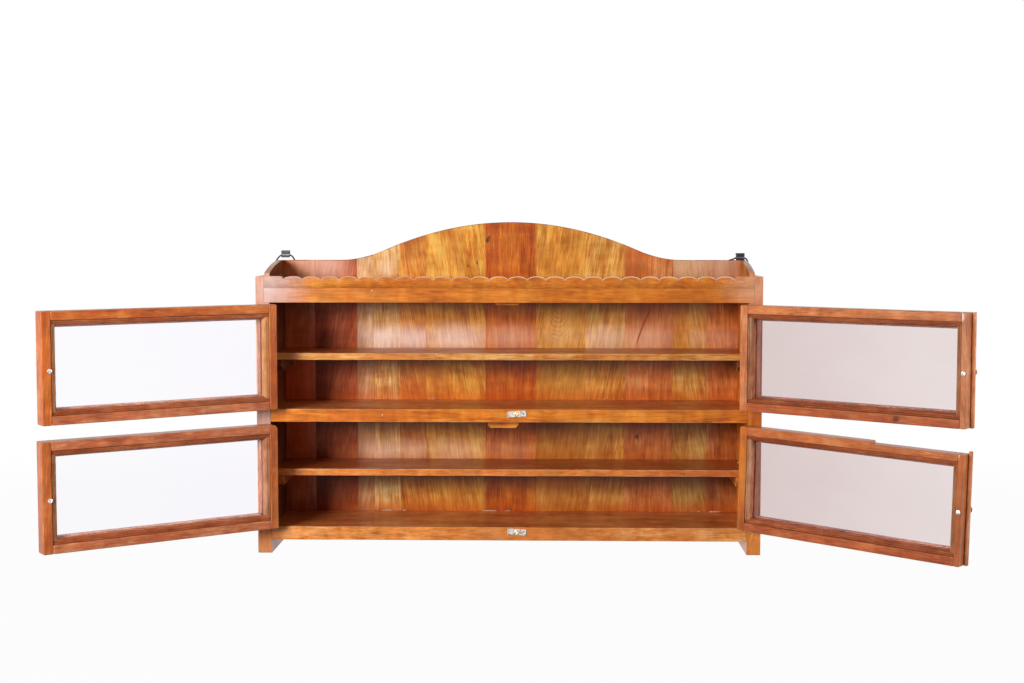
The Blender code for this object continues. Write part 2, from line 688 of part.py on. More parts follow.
def main():
    clear_scene()
    side_panel("left_side_panel", -1)
    side_panel("right_side_panel", 1)
    back_panel()
    gallery_rail()
    bottom = board("bottom_board", Z_BOTTOM, Z_BOTTOM_TOP, Y_FRONT)
    middle = board("middle_board", Z_MIDDLE, Z_MIDDLE_TOP, Y_FRONT)
    board("top_board", Z_TRAY, Z_TRAY + TOP_THICKNESS, Y_FRONT + RAIL_THICKNESS)
    lower_button = Z_BOTTOM_TOP - BUTTON_DROP
    upper_button = Z_MIDDLE_TOP - BUTTON_DROP
    bore_board(bottom, lower_button)
    bore_board(middle, upper_button)
    shelf_with_cleats("lower_shelf", Z_BOTTOM_TOP + LOWER_SHELF_HEIGHT)
    shelf_with_cleats("upper_shelf", Z_MIDDLE_TOP + UPPER_SHELF_HEIGHT)
    door_stop("upper_door_stop", UPPER_STOP_OFFSET, UPPER_STOP_WIDTH, Z_TRAY)
    door_stop("lower_door_stop", LOWER_STOP_OFFSET, LOWER_STOP_WIDTH, Z_MIDDLE)
    spans = (("upper", Z_MIDDLE_TOP, Z_RAIL), ("lower", Z_BOTTOM_TOP, Z_MIDDLE))
    openings = {
        ("upper", "left"): UPPER_LEFT_OPENING,
        ("upper", "right"): UPPER_RIGHT_OPENING,
        ("lower", "left"): LOWER_LEFT_OPENING,
        ("lower", "right"): LOWER_RIGHT_OPENING,
    }
    for level, low, high in spans:
        for side, hand in (("left", 1), ("right", -1)):
            sags = level == "lower" and side == "right"
            lean = SAGGING_HINGE_LEAN if sags else 0
            door(level, side, hand, low + DOOR_GAP, high - DOOR_GAP, openings[level, side], lean)
    turn_button("upper_turn_button", upper_button, BUTTON_TILT)
    turn_button("lower_turn_button", lower_button, -BUTTON_TILT)
    for side, hand in (("left", -1), ("right", 1)):
        wall_hanger(side, hand)


main()
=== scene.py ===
import json
import math

import bmesh
import bpy
from mathutils import Matrix, Vector, noise


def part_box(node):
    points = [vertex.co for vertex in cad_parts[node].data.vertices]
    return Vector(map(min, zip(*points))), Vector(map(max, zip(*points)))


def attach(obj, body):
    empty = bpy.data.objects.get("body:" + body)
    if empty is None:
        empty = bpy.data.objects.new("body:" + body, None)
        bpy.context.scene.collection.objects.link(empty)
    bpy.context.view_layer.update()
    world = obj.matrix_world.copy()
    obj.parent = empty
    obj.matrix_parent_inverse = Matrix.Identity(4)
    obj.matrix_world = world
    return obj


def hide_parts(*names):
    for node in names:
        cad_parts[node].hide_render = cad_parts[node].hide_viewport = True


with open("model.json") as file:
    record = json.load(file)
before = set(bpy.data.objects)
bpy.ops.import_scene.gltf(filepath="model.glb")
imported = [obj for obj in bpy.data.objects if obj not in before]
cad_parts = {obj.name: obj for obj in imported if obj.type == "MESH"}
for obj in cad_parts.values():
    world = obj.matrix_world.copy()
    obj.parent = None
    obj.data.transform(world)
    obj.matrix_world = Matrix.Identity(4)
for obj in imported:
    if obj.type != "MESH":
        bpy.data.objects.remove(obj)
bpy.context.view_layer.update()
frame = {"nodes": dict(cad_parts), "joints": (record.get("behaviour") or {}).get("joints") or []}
scene = bpy.context.scene
scene.view_settings.view_transform = "Standard"
noise.seed_set(11)       # the same waves each run
print("frame loaded:", len(frame["nodes"]), "nodes")


# short hands for building node trees

def srgb(code):
    # "#RRGGBB" to linear colour
    parts = [int(code[i:i + 2], 16) / 255 for i in (1, 3, 5)]
    return tuple(c / 12.92 if c <= 0.04045 else ((c + 0.055) / 1.055) ** 2.4 for c in parts) + (1.0,)


def put(tree, kind, **values):
    made = tree.nodes.new("ShaderNode" + kind)
    for key, value in values.items():
        setattr(made, key, value)
    return made


def feed(tree, socket, source):
    # a socket takes another socket, a number or a vector
    if isinstance(source, bpy.types.NodeSocket):
        tree.links.new(source, socket)
    else:
        socket.default_value = source


def calc(tree, operation, a, b=0.0, clamp=False):
    made = put(tree, "Math", operation=operation, use_clamp=clamp)
    feed(tree, made.inputs[0], a)
    feed(tree, made.inputs[1], b)
    return made.outputs[0]


def times(tree, *values):
    # product of sockets and numbers
    total = values[0]
    for value in values[1:]:
        total = calc(tree, "MULTIPLY", total, value)
    return total


def along(tree, operation, a, b=(0, 0, 0)):
    made = put(tree, "VectorMath", operation=operation)
    feed(tree, made.inputs[0], a)
    feed(tree, made.inputs[1], b)
    return made.outputs["Value" if operation in ("DOT_PRODUCT", "LENGTH") else "Vector"]


def dot(tree, a, b):
    return along(tree, "DOT_PRODUCT", a, b)


def scaled(tree, vector, size):
    made = put(tree, "VectorMath", operation="SCALE")
    feed(tree, made.inputs[0], vector)
    feed(tree, made.inputs["Scale"], size)
    return made.outputs["Vector"]


def speckle(tree, space, stretch, detail=3.0, rough=0.55, colour=False):
    # noise in a space stretched per axis, in features per metre
    made = put(tree, "TexNoise")
    feed(tree, made.inputs["Vector"], along(tree, "MULTIPLY", space, stretch))
    made.inputs["Scale"].default_value = 1.0
    made.inputs["Detail"].default_value = detail
    made.inputs["Roughness"].default_value = rough
    return made.outputs["Color" if colour else "Fac"]


def ramp(tree, factor, stops):
    made = put(tree, "ValToRGB")
    while len(made.color_ramp.elements) < len(stops):
        made.color_ramp.elements.new(0.5)
    for element, (spot, colour) in zip(made.color_ramp.elements, stops):
        element.position = spot
        element.color = colour
    feed(tree, made.inputs[0], factor)
    return made.outputs[0]


def spread(tree, value, low, high, toLow=0.0, toHigh=1.0):
    made = put(tree, "MapRange", clamp=True, interpolation_type="SMOOTHSTEP")
    slots = ("Value", "From Min", "From Max", "To Min", "To Max")
    for slot, source in zip(slots, (value, low, high, toLow, toHigh)):
        feed(tree, made.inputs[slot], source)
    return made.outputs[0]


def blend(tree, factor, a, b):
    made = put(tree, "Mix", data_type="RGBA", clamp_factor=True)
    feed(tree, made.inputs[0], factor)
    feed(tree, made.inputs[6], a)
    feed(tree, made.inputs[7], b)
    return made.outputs[2]


def weigh(tree, *parts):
    # sum of (value - middle) x weight, about a half
    total = 0.5
    for value, middle, weight in parts:
        part = times(tree, calc(tree, "SUBTRACT", value, middle), weight)
        total = calc(tree, "ADD", part, total)
    return total


def newFinish(name):
    finish = bpy.data.materials.new(name)
    finish.use_nodes = True
    return finish, finish.node_tree, finish.node_tree.nodes["Principled BSDF"]


def bumpInto(tree, shader, height, strength, distance):
    made = put(tree, "Bump")
    made.inputs["Strength"].default_value = strength
    made.inputs["Distance"].default_value = distance
    feed(tree, made.inputs["Height"], height)
    feed(tree, shader.inputs["Normal"], made.outputs[0])


# the camera, from a fit of the cabinet's corners to the photograph

cameraPlan = {
    "place": (0.07904, -2.98242, 0.33165),
    "yaw": 1.4775,       # degrees to the left
    "pitch": 4.011,      # degrees down
    "lens": 54.79,
}


def makeCamera(plan):
    yaw, pitch = math.radians(plan["yaw"]), math.radians(plan["pitch"])
    look = Vector((-math.sin(yaw) * math.cos(pitch), math.cos(yaw) * math.cos(pitch), -math.sin(pitch)))
    data = bpy.data.cameras.new("photoCamera")
    data.sensor_fit = "HORIZONTAL"
    data.sensor_width = 36.0
    data.lens = plan["lens"]
    camera = bpy.data.objects.new("photoCamera", data)
    camera.location = plan["place"]
    camera.rotation_euler = look.to_track_quat("-Z", "Y").to_euler()
    scene.collection.objects.link(camera)
    scene.camera = camera


makeCamera(cameraPlan)
print("camera set")


# varnished woods: each board has its own place in the grain

woodTones = {
    # deep, body, light, blush
    "gold": ("#A65018", "#CC8024", "#E2AC4E", "#BE6A20"),
    "yellow": ("#B2641C", "#D69236", "#E8B65A", "#C87A28"),
    "honey": ("#A4541C", "#CA8836", "#E2B264", "#BC6C2C"),
    "amber": ("#9E4614", "#C47424", "#DA9C46", "#B05A1C"),
    "orange": ("#8A3208", "#B85812", "#D07E28", "#A2420C"),
    "russet": ("#96461C", "#C86E32", "#DE9A5E", "#B05824"),
    "rust": ("#A0461C", "#D0743E", "#E29C66", "#B85828"),
    "pink": ("#8A3416", "#B4532B", "#CC7A4E", "#A04420"),
    "pale": ("#A86432", "#CC945A", "#E4C094", "#B87444"),
    "paleGold": ("#A85E26", "#D2984E", "#E8C48A", "#C07A38"),
    "rail": ("#A04C10", "#C26C1A", "#D88C36", "#B25A14"),
    "board": ("#A24A0E", "#CE7018", "#E09238", "#B65812"),
    "shelfEdge": ("#A6561E", "#D0893C", "#E8B672", "#B86A2A"),
    "lowerEdge": ("#A24C1E", "#CE722A", "#E0944E", "#B65A22"),
    "side": ("#964614", "#C06A24", "#D48E44", "#A65418"),
    "stile": ("#8E3C12", "#BC5E22", "#D08440", "#A04614"),
    "doorRail": ("#903C14", "#C06024", "#D68644", "#A44A18"),
    "stilePink": ("#924C26", "#C87646", "#DC9E6E", "#AC5A30"),
    "stileDeep": ("#7E3612", "#AC5420", "#C2763C", "#923E14"),
    "railPink": ("#944420", "#CA733E", "#DE9C64", "#AE5828"),
    "railRed": ("#843214", "#AE5428", "#C67A4A", "#98441C"),
    "railRose": ("#8A3E1E", "#B4623C", "#CC8C62", "#A04E2A"),
    "litStrip": ("#BC6C3C", "#F09660", "#FFC092", "#CE804C"),
    "beadDark": ("#743416", "#9A4E2A", "#B4724C", "#863C1A"),
    "beadTan": ("#905A32", "#B87C4C", "#D0A076", "#A26A3E"),
    "beadBrown": ("#7E4A2C", "#A26A48", "#BE9070", "#8C5636"),
    "revealShade": ("#6A4030", "#8C5C48", "#A67C68", "#784A38"),
    "boardTop": ("#904014", "#C06826", "#D48C48", "#A44E18"),
    "floorTop": ("#984A20", "#D07638", "#DE9858", "#B05A28"),
    "shelfTop": ("#843610", "#AE5622", "#C27A42", "#964014"),
    "boardPale": ("#AA5418", "#D4823A", "#E8A86C", "#BE6A2A"),
    "paintedShade": ("#4A2410", "#6A3418", "#84492A", "#562A12"),
}

varnish = {
    "rough": 0.38, "coat": 0.45, "coatRough": 0.24, "specular": 0.05, "wander": 0.016,
    "worn": "#D9AE86", "wearAndGlintShare": 0.55, "relief": 0.28,
}
beadVarnish = dict(varnish, coat=0.2, relief=0.06)      # the thin beads are smoother and duller


woodFigure = {
    # features per metre, along the grain and across it
    "drift": (2.4, 9, 9), "broad": (5.5, 30, 30), "streak": (14, 150, 150), "fibre": (30, 520, 520),
    "curl": (52, 17, 17), "mottle": (24, 34, 34), "patch": (4.5, 9, 9), "pores": (60, 1500, 1500),
    "swirl": (2.6, 13, 11), "rub": (30, 60, 60),
    # what each adds to the tone
    "broadShare": 0.68, "streakShare": 0.62, "fibreShare": 0.72, "curlShare": 0.46, "flameShare": 0.15,
    "rings": 70.0,           # turns of the flame figure
    "lean": 0.16,            # most that the grain leans
    "frontDepth": -0.006,    # a plank's front lies before this depth
    "overlap": 0.002,        # painted shade and painted bounce light start this far behind a board
    "hazeFrom": 0.02,        # a mark wider than this is a soft haze
    "archSpread": 46.0, "archRagged": 3.4, "streakBow": 0.016, "streakShade": 0.8,
}


def seedShift(seed):
    # a far-off place in the grain for each seed
    return Vector((math.sin(seed * 12.9) * 7.0, math.sin(seed * 78.2 + 1.0) * 5.0,
                   math.cos(seed * 37.7) * 3.0))


def grainOrder(axis):
    return {"x": (0, 1, 2), "y": (1, 0, 2), "z": (2, 0, 1)}[axis]


def woodFinish(name, toneName, axis="x", seed=0.0, marksAndGlare=(), streaks=(), flame=0.0, contrast=1.0,
               worn=None, wearAndGlintShare=None, fade=None, shadeBands=(), warm=(), arch=None, plan=varnish):
    deep, body, light, blush = [srgb(code) for code in woodTones[toneName]]
    finish, tree, shader = newFinish(name)
    grain = put(tree, "Attribute", attribute_name="grainSpace").outputs["Vector"]
    figure = woodFigure
    drift = along(tree, "SUBTRACT", speckle(tree, grain, figure["drift"], 2.0, 0.5, True), (0.5, 0.5, 0.5))
    bent = along(tree, "ADD", grain, scaled(tree, drift, plan["wander"]))
    lean = figure["lean"] * math.sin(seed * 5.3 + 0.6)
    tilted = along(tree, "ADD", bent, scaled(tree, (0, lean, 0), dot(tree, bent, (1, 0, 0))))
    broad = speckle(tree, tilted, figure["broad"], 3.0, 0.55)
    streak = speckle(tree, tilted, figure["streak"], 3.0, 0.6)
    fibre = speckle(tree, tilted, figure["fibre"], 2.0, 0.6)
    curl = speckle(tree, bent, figure["curl"], 2.0, 0.5)
    mottle = speckle(tree, grain, figure["mottle"], 3.0, 0.6)
    patch = speckle(tree, grain, figure["patch"], 2.0, 0.5)
    layers = ((broad, "broadShare"), (streak, "streakShare"), (fibre, "fibreShare"), (curl, "curlShare"))
    parts = [(layer, 0.5, figure[share] * contrast) for layer, share in layers]
    if flame:
        swirl = speckle(tree, bent, figure["swirl"], 0.0, 0.3)
        rings = calc(tree, "SINE", times(tree, swirl, figure["rings"]))
        parts.append((rings, 0.0, figure["flameShare"] * flame))
    tone = weigh(tree, *parts)
    colour = ramp(tree, tone, [(0.24, deep), (0.50, body), (0.76, light)])
    colour = blend(tree, spread(tree, patch, 0.46, 0.70, 0.0, 0.60), colour, blush)
    colour = scaled(tree, colour, spread(tree, mottle, 0.30, 0.70, 0.82, 1.11))
    pores = speckle(tree, tilted, figure["pores"], 1.0, 0.5)
    colour = blend(tree, spread(tree, pores, 0.62, 0.76, 0.0, 0.45), colour, deep)
    order, shift = grainOrder(axis), seedShift(seed)
    place = along(tree, "SUBTRACT", grain, shift)
    run = dot(tree, place, (1, 0, 0))
    if fade is not None:
        # darker towards one end of the grain; on the planks this is painted shade
        colour = scaled(tree, colour, spread(tree, run, fade[0], fade[1], fade[2], 1.0))
    # what lies on a plank's front stays off its back
    front = calc(tree, "LESS_THAN", dot(tree, place, (0, 0, 1)), figure["frontDepth"]) if shadeBands else 1.0
    for level, reach, share in shadeBands:
        # painted shade under a board
        below = times(tree, front, calc(tree, "LESS_THAN", run, level + figure["overlap"]))
        depth = times(tree, spread(tree, run, level - reach, level, 0.0, 1.0 - share), below)
        colour = scaled(tree, colour, calc(tree, "SUBTRACT", 1.0, depth))
    for level, reach, tint, share in warm:
        # painted bounce light, redder just above a board
        above = times(tree, front, calc(tree, "GREATER_THAN", run, level - figure["overlap"]))
        near = times(tree, spread(tree, run, level + reach, level, 0.0, share), above)
        warmed = scaled(tree, srgb(tint)[:3], spread(tree, tone, 0.2, 0.8, 0.8, 1.15))
        colour = blend(tree, near, colour, warmed)

    def local(spot):
        # a place on the piece to its place in the grain
        return Vector([spot[k] for k in order]) + shift

    if arch is not None:
        # nested arches, open at the top
        spot, radius, pitch, tint, share = arch
        gap = along(tree, "SUBTRACT", bent, local(spot))
        aside = dot(tree, gap, (0, 1, 0))
        hollow = times(tree, calc(tree, "POWER", aside, 2.0), figure["archSpread"])
        rise = calc(tree, "SUBTRACT", dot(tree, gap, (1, 0, 0)), hollow)
        rise = calc(tree, "ADD", rise, times(tree, mottle, pitch * figure["archRagged"]))
        lines = spread(tree, calc(tree, "SINE", times(tree, rise, 2 * math.pi / pitch)), -0.2, 0.9)
        within = spread(tree, along(tree, "LENGTH", gap), radius, radius * 0.5, 0.0, share)
        colour = blend(tree, times(tree, lines, within, front), colour, srgb(tint))
    for spot, radius, squeeze, tint, share in marksAndGlare:
        gap = along(tree, "MULTIPLY", along(tree, "SUBTRACT", bent, local(spot)), (squeeze, 1.0, 1.0))
        reach = along(tree, "LENGTH", gap)
        if radius > figure["hazeFrom"]:
            # a broad haze keeps the figure; most broad hazes are painted glare, the rest painted bounce light
            # and tone
            toneAndGlare = scaled(tree, srgb(tint)[:3], spread(tree, tone, 0.2, 0.8, 0.84, 1.12))
            veil = times(tree, spread(tree, reach, radius, 0.0, 0.0, share), front)
            colour = blend(tree, veil, colour, toneAndGlare)
            continue
        # small marks are knots and spots, some of them painted highlight flecks
        ragged = calc(tree, "ADD", reach, times(tree, calc(tree, "SUBTRACT", streak, 0.5), radius * 1.6))
        colour = blend(tree, spread(tree, ragged, radius, radius * 0.45, 0.0, share), colour, srgb(tint))
    for start, end, width, tint in streaks:
        head, tail = local(start), local(end)
        course = tail - head
        gap = along(tree, "SUBTRACT", bent, head)
        share = calc(tree, "DIVIDE", dot(tree, gap, course.normalized()), course.length)
        aside = dot(tree, gap, Vector((-course.y, course.x, 0)).normalized())
        bow = times(tree, share, calc(tree, "SUBTRACT", 1.0, share), figure["streakBow"])
        taper = times(tree, spread(tree, share, -0.05, 0.2), spread(tree, share, 1.05, 0.7))
        line = spread(tree, calc(tree, "ABSOLUTE", calc(tree, "ADD", aside, bow)), width, width * 0.3)
        line = times(tree, line, front, taper, figure["streakShade"])
        colour = blend(tree, line, colour, srgb(tint))
    wearAndGlint = put(tree, "Attribute", attribute_name="wear").outputs["Fac"]
    wearAndGlint = times(tree, wearAndGlint, spread(tree, speckle(tree, grain, figure["rub"]), 0.36, 0.60, 0.2, 1.0))
    wearAndGlint = times(tree, wearAndGlint, plan["wearAndGlintShare"] if wearAndGlintShare is None else wearAndGlintShare)
    colour = blend(tree, wearAndGlint, colour, srgb(worn or plan["worn"]))
    feed(tree, shader.inputs["Base Color"], colour)
    dull = weigh(tree, (patch, 0.5, 0.30), (mottle, 0.5, 0.16), (fibre, 0.5, 0.12))
    feed(tree, shader.inputs["Roughness"], calc(tree, "ADD", dull, plan["rough"] - 0.5))
    shader.inputs["Specular IOR Level"].default_value = plan["specular"]
    shader.inputs["Coat Weight"].default_value = plan["coat"]
    shader.inputs["Coat Roughness"].default_value = plan["coatRough"]
    relief = weigh(tree, (fibre, 0.5, 0.5), (streak, 0.5, 0.6), (mottle, 0.5, 0.7))
    bumpInto(tree, shader, relief, plan["relief"], 0.0007)
    return finish


metalGrain = {"cloud": (240, 240, 240), "scratch": (54, 900, 900)}      # features per metre


def metalFinish(name, bright, dark, rough, metallic=1.0):
    finish, tree, shader = newFinish(name)
    spot = put(tree, "TexCoord").outputs["Object"]
    cloud = speckle(tree, spot, metalGrain["cloud"], 4.0)
    lines = speckle(tree, spot, metalGrain["scratch"], 2.0)
    tarnish = spread(tree, cloud, 0.42, 0.68)
    feed(tree, shader.inputs["Base Color"], blend(tree, tarnish, srgb(bright), srgb(dark)))
    dull = calc(tree, "ADD", times(tree, tarnish, 0.18), times(tree, lines, 0.14))
    feed(tree, shader.inputs["Roughness"], calc(tree, "ADD", dull, rough))
    shader.inputs["Metallic"].default_value = metallic
    bumpInto(tree, shader, lines, 0.15, 0.0002)
    return finish


def glassFinish(name, near, far, hingeX, freeX):
    # a pane with a thin dusty film, paler towards the free edge
    finish, tree, shader = newFinish(name)
    spot = put(tree, "TexCoord").outputs["Object"]
    across = put(tree, "SeparateXYZ")
    feed(tree, across.inputs[0], spot)
    film = speckle(tree, spot, (7, 7, 11), 3.0, 0.55)
    share = spread(tree, across.outputs[0], hingeX, freeX)
    share = weigh(tree, (share, 0.5, 0.8), (film, 0.5, 0.5))
    tint = blend(tree, share, srgb(near), srgb(far))
    feed(tree, shader.inputs["Base Color"], tint)
    feed(tree, shader.inputs["Roughness"], times(tree, film, 0.03))
    shader.inputs["Transmission Weight"].default_value = 1.0
    shader.inputs["IOR"].default_value = 1.46
    path = put(tree, "LightPath")
    clear = put(tree, "BsdfTransparent")
    feed(tree, clear.inputs[0], tint)
    mix = put(tree, "MixShader")
    feed(tree, mix.inputs[0], path.outputs["Is Shadow Ray"])
    feed(tree, mix.inputs[1], shader.outputs[0])
    feed(tree, mix.inputs[2], clear.outputs[0])
    feed(tree, tree.nodes["Material Output"].inputs["Surface"], mix.outputs[0])
    return finish


def lumpFinish(name, pale, dark):
    # dried glue
    finish, tree, shader = newFinish(name)
    spot = put(tree, "TexCoord").outputs["Object"]
    cloud = speckle(tree, spot, (420, 420, 420), 3.0)
    tint = blend(tree, spread(tree, cloud, 0.35, 0.7), srgb(pale), srgb(dark))
    feed(tree, shader.inputs["Base Color"], tint)
    feed(tree, shader.inputs["Roughness"], spread(tree, cloud, 0.3, 0.7, 0.45, 0.7))
    bumpInto(tree, shader, cloud, 0.4, 0.0006)
    return finish


finishes = {
    "nickel": metalFinish("buttonNickel", "#D8D2C8", "#857B70", 0.24),
    "zinc": metalFinish("screwZinc", "#D4D2D0", "#8E8B8A", 0.26),
    "brass": metalFinish("hingeBrass", "#B08A4A", "#6A4E26", 0.34),
    "screwBrass": metalFinish("screwBrass", "#D9C294", "#86683A", 0.30),
    "black": metalFinish("hangerBlack", "#2E2F36", "#191A1F", 0.30, 0.5),
    "grey": metalFinish("hangerGrey", "#777982", "#4A4C54", 0.30, 0.5),
    "glue": lumpFinish("driedGlue", "#C8A88E", "#96694A"),
    "leftGlass": glassFinish("leftPane", "#FAF8FD", "#FBFAFD", -0.42, -0.76),
    "rightGlass": glassFinish("rightPane", "#D8C6C4", "#E9DDDC", 0.42, 0.76),
}
print("finishes mixed:", len(finishes))


# meshes

layAlong = {        # a flat outline and a reach, laid along an axis
    "x": lambda a, b, c: (c, a, b),
    "y": lambda a, b, c: (a, c, b),
    "z": lambda a, b, c: (a, b, c),
}


def cutAcross(bm, spot, normal, **more):
    whole = bm.verts[:] + bm.edges[:] + bm.faces[:]
    return bmesh.ops.bisect_plane(bm, geom=whole, plane_co=spot, plane_no=normal, **more)


def roundOff(bm, edges, width, segments, clamp=False):
    return bmesh.ops.bevel(bm, geom=edges, offset=width, segments=segments, profile=0.5,
                           affect="EDGES", clamp_overlap=clamp)


def skinBetween(bm, one, two):
    # faces between two closed rows of corners
    for i in range(len(one)):
        j = (i + 1) % len(one)
        bm.faces.new((one[i], one[j], two[j], two[i]))


def easeEdges(bm, width, segments=2, sharpest=25.0, only=None):
    # rounds the sharp edges and marks the crest of each for wear
    wear = bm.verts.layers.float.get("wear") or bm.verts.layers.float.new("wear")
    bmesh.ops.recalc_face_normals(bm, faces=bm.faces)
    limit = math.radians(sharpest)
    edges = [e for e in bm.edges if len(e.link_faces) == 2 and e.calc_face_angle(0) > limit]
    if only is not None:
        edges = [e for e in edges if only(e)]
    rounded = set(roundOff(bm, edges, width, segments, True)["faces"])
    for vert in bm.verts:
        vert[wear] = 1.0 if all(face in rounded for face in vert.link_faces) else 0.0
    return bm


def handWave(bm, axis, amount, seed, step=0.03):
    # cuts a long piece into short lengths and lets them wander a little, as planed by hand
    number = "xyz".index(axis)
    low = min(v.co[number] for v in bm.verts)
    high = max(v.co[number] for v in bm.verts)
    normal = Vector([1.0 if k == number else 0.0 for k in range(3)])
    for k in range(1, max(2, round((high - low) / step))):
        cutAcross(bm, normal * (low + step * k), normal)
    for vert in bm.verts:
        run = vert.co[number]
        end = min(run - low, high - run) / step
        slow = noise.noise_vector(Vector((run * 9.0, seed, 0.0)))
        quick = noise.noise_vector(Vector((run * 31.0, seed, 4.0)))
        sway = slow * 0.7 + quick * 0.3
        sway[number] = 0.0
        vert.co += sway * amount * min(1.0, end)
    return bm


def prismMesh(outline, axis, start, end):
    bm = bmesh.new()
    lay = layAlong[axis]
    low = [bm.verts.new(lay(a, b, start)) for a, b in outline]
    high = [bm.verts.new(lay(a, b, end)) for a, b in outline]
    bm.faces.new(low)
    bm.faces.new(high)
    skinBetween(bm, low, high)
    return bm


def turnedMesh(profile, axis, centre, sides=36):
    # profile: (radius, place along the axis), from the axis to the axis
    bm = bmesh.new()
    loops = []
    for radius, spot in profile:
        count = sides if radius > 0 else 1
        turns = [2 * math.pi * k / sides for k in range(count)]
        ring = [layAlong[axis](radius * math.cos(t), radius * math.sin(t), spot) for t in turns]
        loops.append([bm.verts.new(Vector(point) + Vector(centre)) for point in ring])
    for one, two in zip(loops, loops[1:]):
        for k in range(sides):
            n = (k + 1) % sides
            corners = [one[k % len(one)], one[n % len(one)], two[n % len(two)], two[k % len(two)]]
            bm.faces.new(list(dict.fromkeys(corners)))
    bmesh.ops.recalc_face_normals(bm, faces=bm.faces)
    return bm


def slottedHead(centre, radius, height, slot, turn, facing):
    # a domed screw head with a driver slot; facing is +1 or -1 along y
    bm = bmesh.new()
    half = slot / 2
    outer = [share * radius for share in (0.985, 0.86, 0.66, 0.44)] + [half * 1.15, half]
    rows = [-u for u in outer] + outer[::-1]
    steps = 12
    top = []
    for u in rows:
        reach = math.sqrt(radius ** 2 - u ** 2)
        line = []
        for k in range(steps + 1):
            v = reach * math.sin(math.pi * (k / steps - 0.5))
            share = min(1.0, math.hypot(u, v) / radius)
            rise = height * (0.42 + 0.58 * math.sqrt(max(0.0, 1 - share ** 2)))
            if abs(u) <= half * 1.01:
                rise -= height * 0.5
            line.append((u, v, max(rise, height * 0.12)))
        top.append(line)
    spin = Matrix.Rotation(turn, 3, "Y")

    def set3(u, v, rise):
        return bm.verts.new(spin @ Vector((u, facing * rise, v)) + Vector(centre))

    grid = [[set3(*p) for p in line] for line in top]
    for a, b in zip(grid, grid[1:]):
        for k in range(steps):
            bm.faces.new((a[k], a[k + 1], b[k + 1], b[k]))
    rim = [line[0] for line in grid] + grid[-1][1:]
    rim += [line[-1] for line in grid[-2::-1]] + grid[0][-2:0:-1]
    floor = []
    for vert in rim:
        spot = vert.co.copy()
        spot.y = centre[1]
        floor.append(bm.verts.new(spot))
    skinBetween(bm, rim, floor)
    bm.faces.new(floor)
    bmesh.ops.recalc_face_normals(bm, faces=bm.faces)
    return bm


def wireLoop(path, radius, sides=12):
    # closed loop of round wire in the xz plane
    bm = bmesh.new()
    loops = []
    count = len(path)
    for i in range(count):
        before = (Vector(path[i]) - Vector(path[i - 1])).normalized()
        after = (Vector(path[(i + 1) % count]) - Vector(path[i])).normalized()
        normal = Vector((-(before + after).y, (before + after).x)).normalized()
        loop = []
        for k in range(sides):
            turn = 2 * math.pi * k / sides
            spot = Vector(path[i]) + normal * radius * math.cos(turn)
            loop.append(bm.verts.new((spot.x, radius * math.sin(turn), spot.y)))
        loops.append(loop)
    for i, loop in enumerate(loops):
        skinBetween(bm, loop, loops[(i + 1) % count])
    bmesh.ops.recalc_face_normals(bm, faces=bm.faces)
    return bm


def cutCorners(path, rounds):
    # softens a closed path's corners
    for _ in range(rounds):
        smooth = []
        for i in range(len(path)):
            a, b = Vector(path[i]), Vector(path[(i + 1) % len(path)])
            smooth += [a.lerp(b, 0.25), a.lerp(b, 0.75)]
        path = smooth
    return path


def joinInto(bm, other):
    # adds one mesh to another
    mesh = bpy.data.meshes.new("joined")
    other.to_mesh(mesh)
    other.free()
    bm.from_mesh(mesh)
    bpy.data.meshes.remove(mesh)
    return bm


def nodeMesh(node):
    # the node's own form, with its flat faces whole again
    bm = bmesh.new()
    bm.from_mesh(frame["nodes"][node].data)
    bmesh.ops.remove_doubles(bm, verts=bm.verts, dist=2e-6)
    bmesh.ops.dissolve_limit(bm, angle_limit=math.radians(0.8), verts=bm.verts, edges=bm.edges)
    return bm


def keepBetween(bm, x0, x1):
    # the part of a mesh between two upright planes, closed again
    for spot, side in ((x0, -1.0), (x1, 1.0)):
        made = cutAcross(bm, (spot, 0, 0), (side, 0, 0), clear_outer=True)
        rim = [e for e in made["geom_cut"] if isinstance(e, bmesh.types.BMEdge)]
        bmesh.ops.holes_fill(bm, edges=rim)
    return bm


def jointOf(body):
    return next(j for j in frame["joints"] if j["child"] == body)


def addPiece(name, bm, body, finish, node=None, grainAxis="x", seed=0.0, matrix=None, second=None):
    # second is a finish for the faces that are set apart
    mesh = bpy.data.meshes.new(name)
    bm.to_mesh(mesh)
    bm.free()
    order, shift = grainOrder(grainAxis), seedShift(seed)
    space = mesh.attributes.new("grainSpace", "FLOAT_VECTOR", "POINT")
    for vert in mesh.vertices:
        space.data[vert.index].vector = Vector([vert.co[k] for k in order]) + shift
    if matrix is not None:
        mesh.transform(matrix)
    for made in filter(None, (finish, second)):
        mesh.materials.append(made)
    mesh.polygons.foreach_set("use_smooth", [True] * len(mesh.polygons))
    piece = bpy.data.objects.new(name, mesh)
    scene.collection.objects.link(piece)
    even = piece.modifiers.new("evenShading", "WEIGHTED_NORMAL")
    even.keep_sharp = True
    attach(piece, body)
    if node is not None:
        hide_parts(node)


# back planks, with the camel-back crest

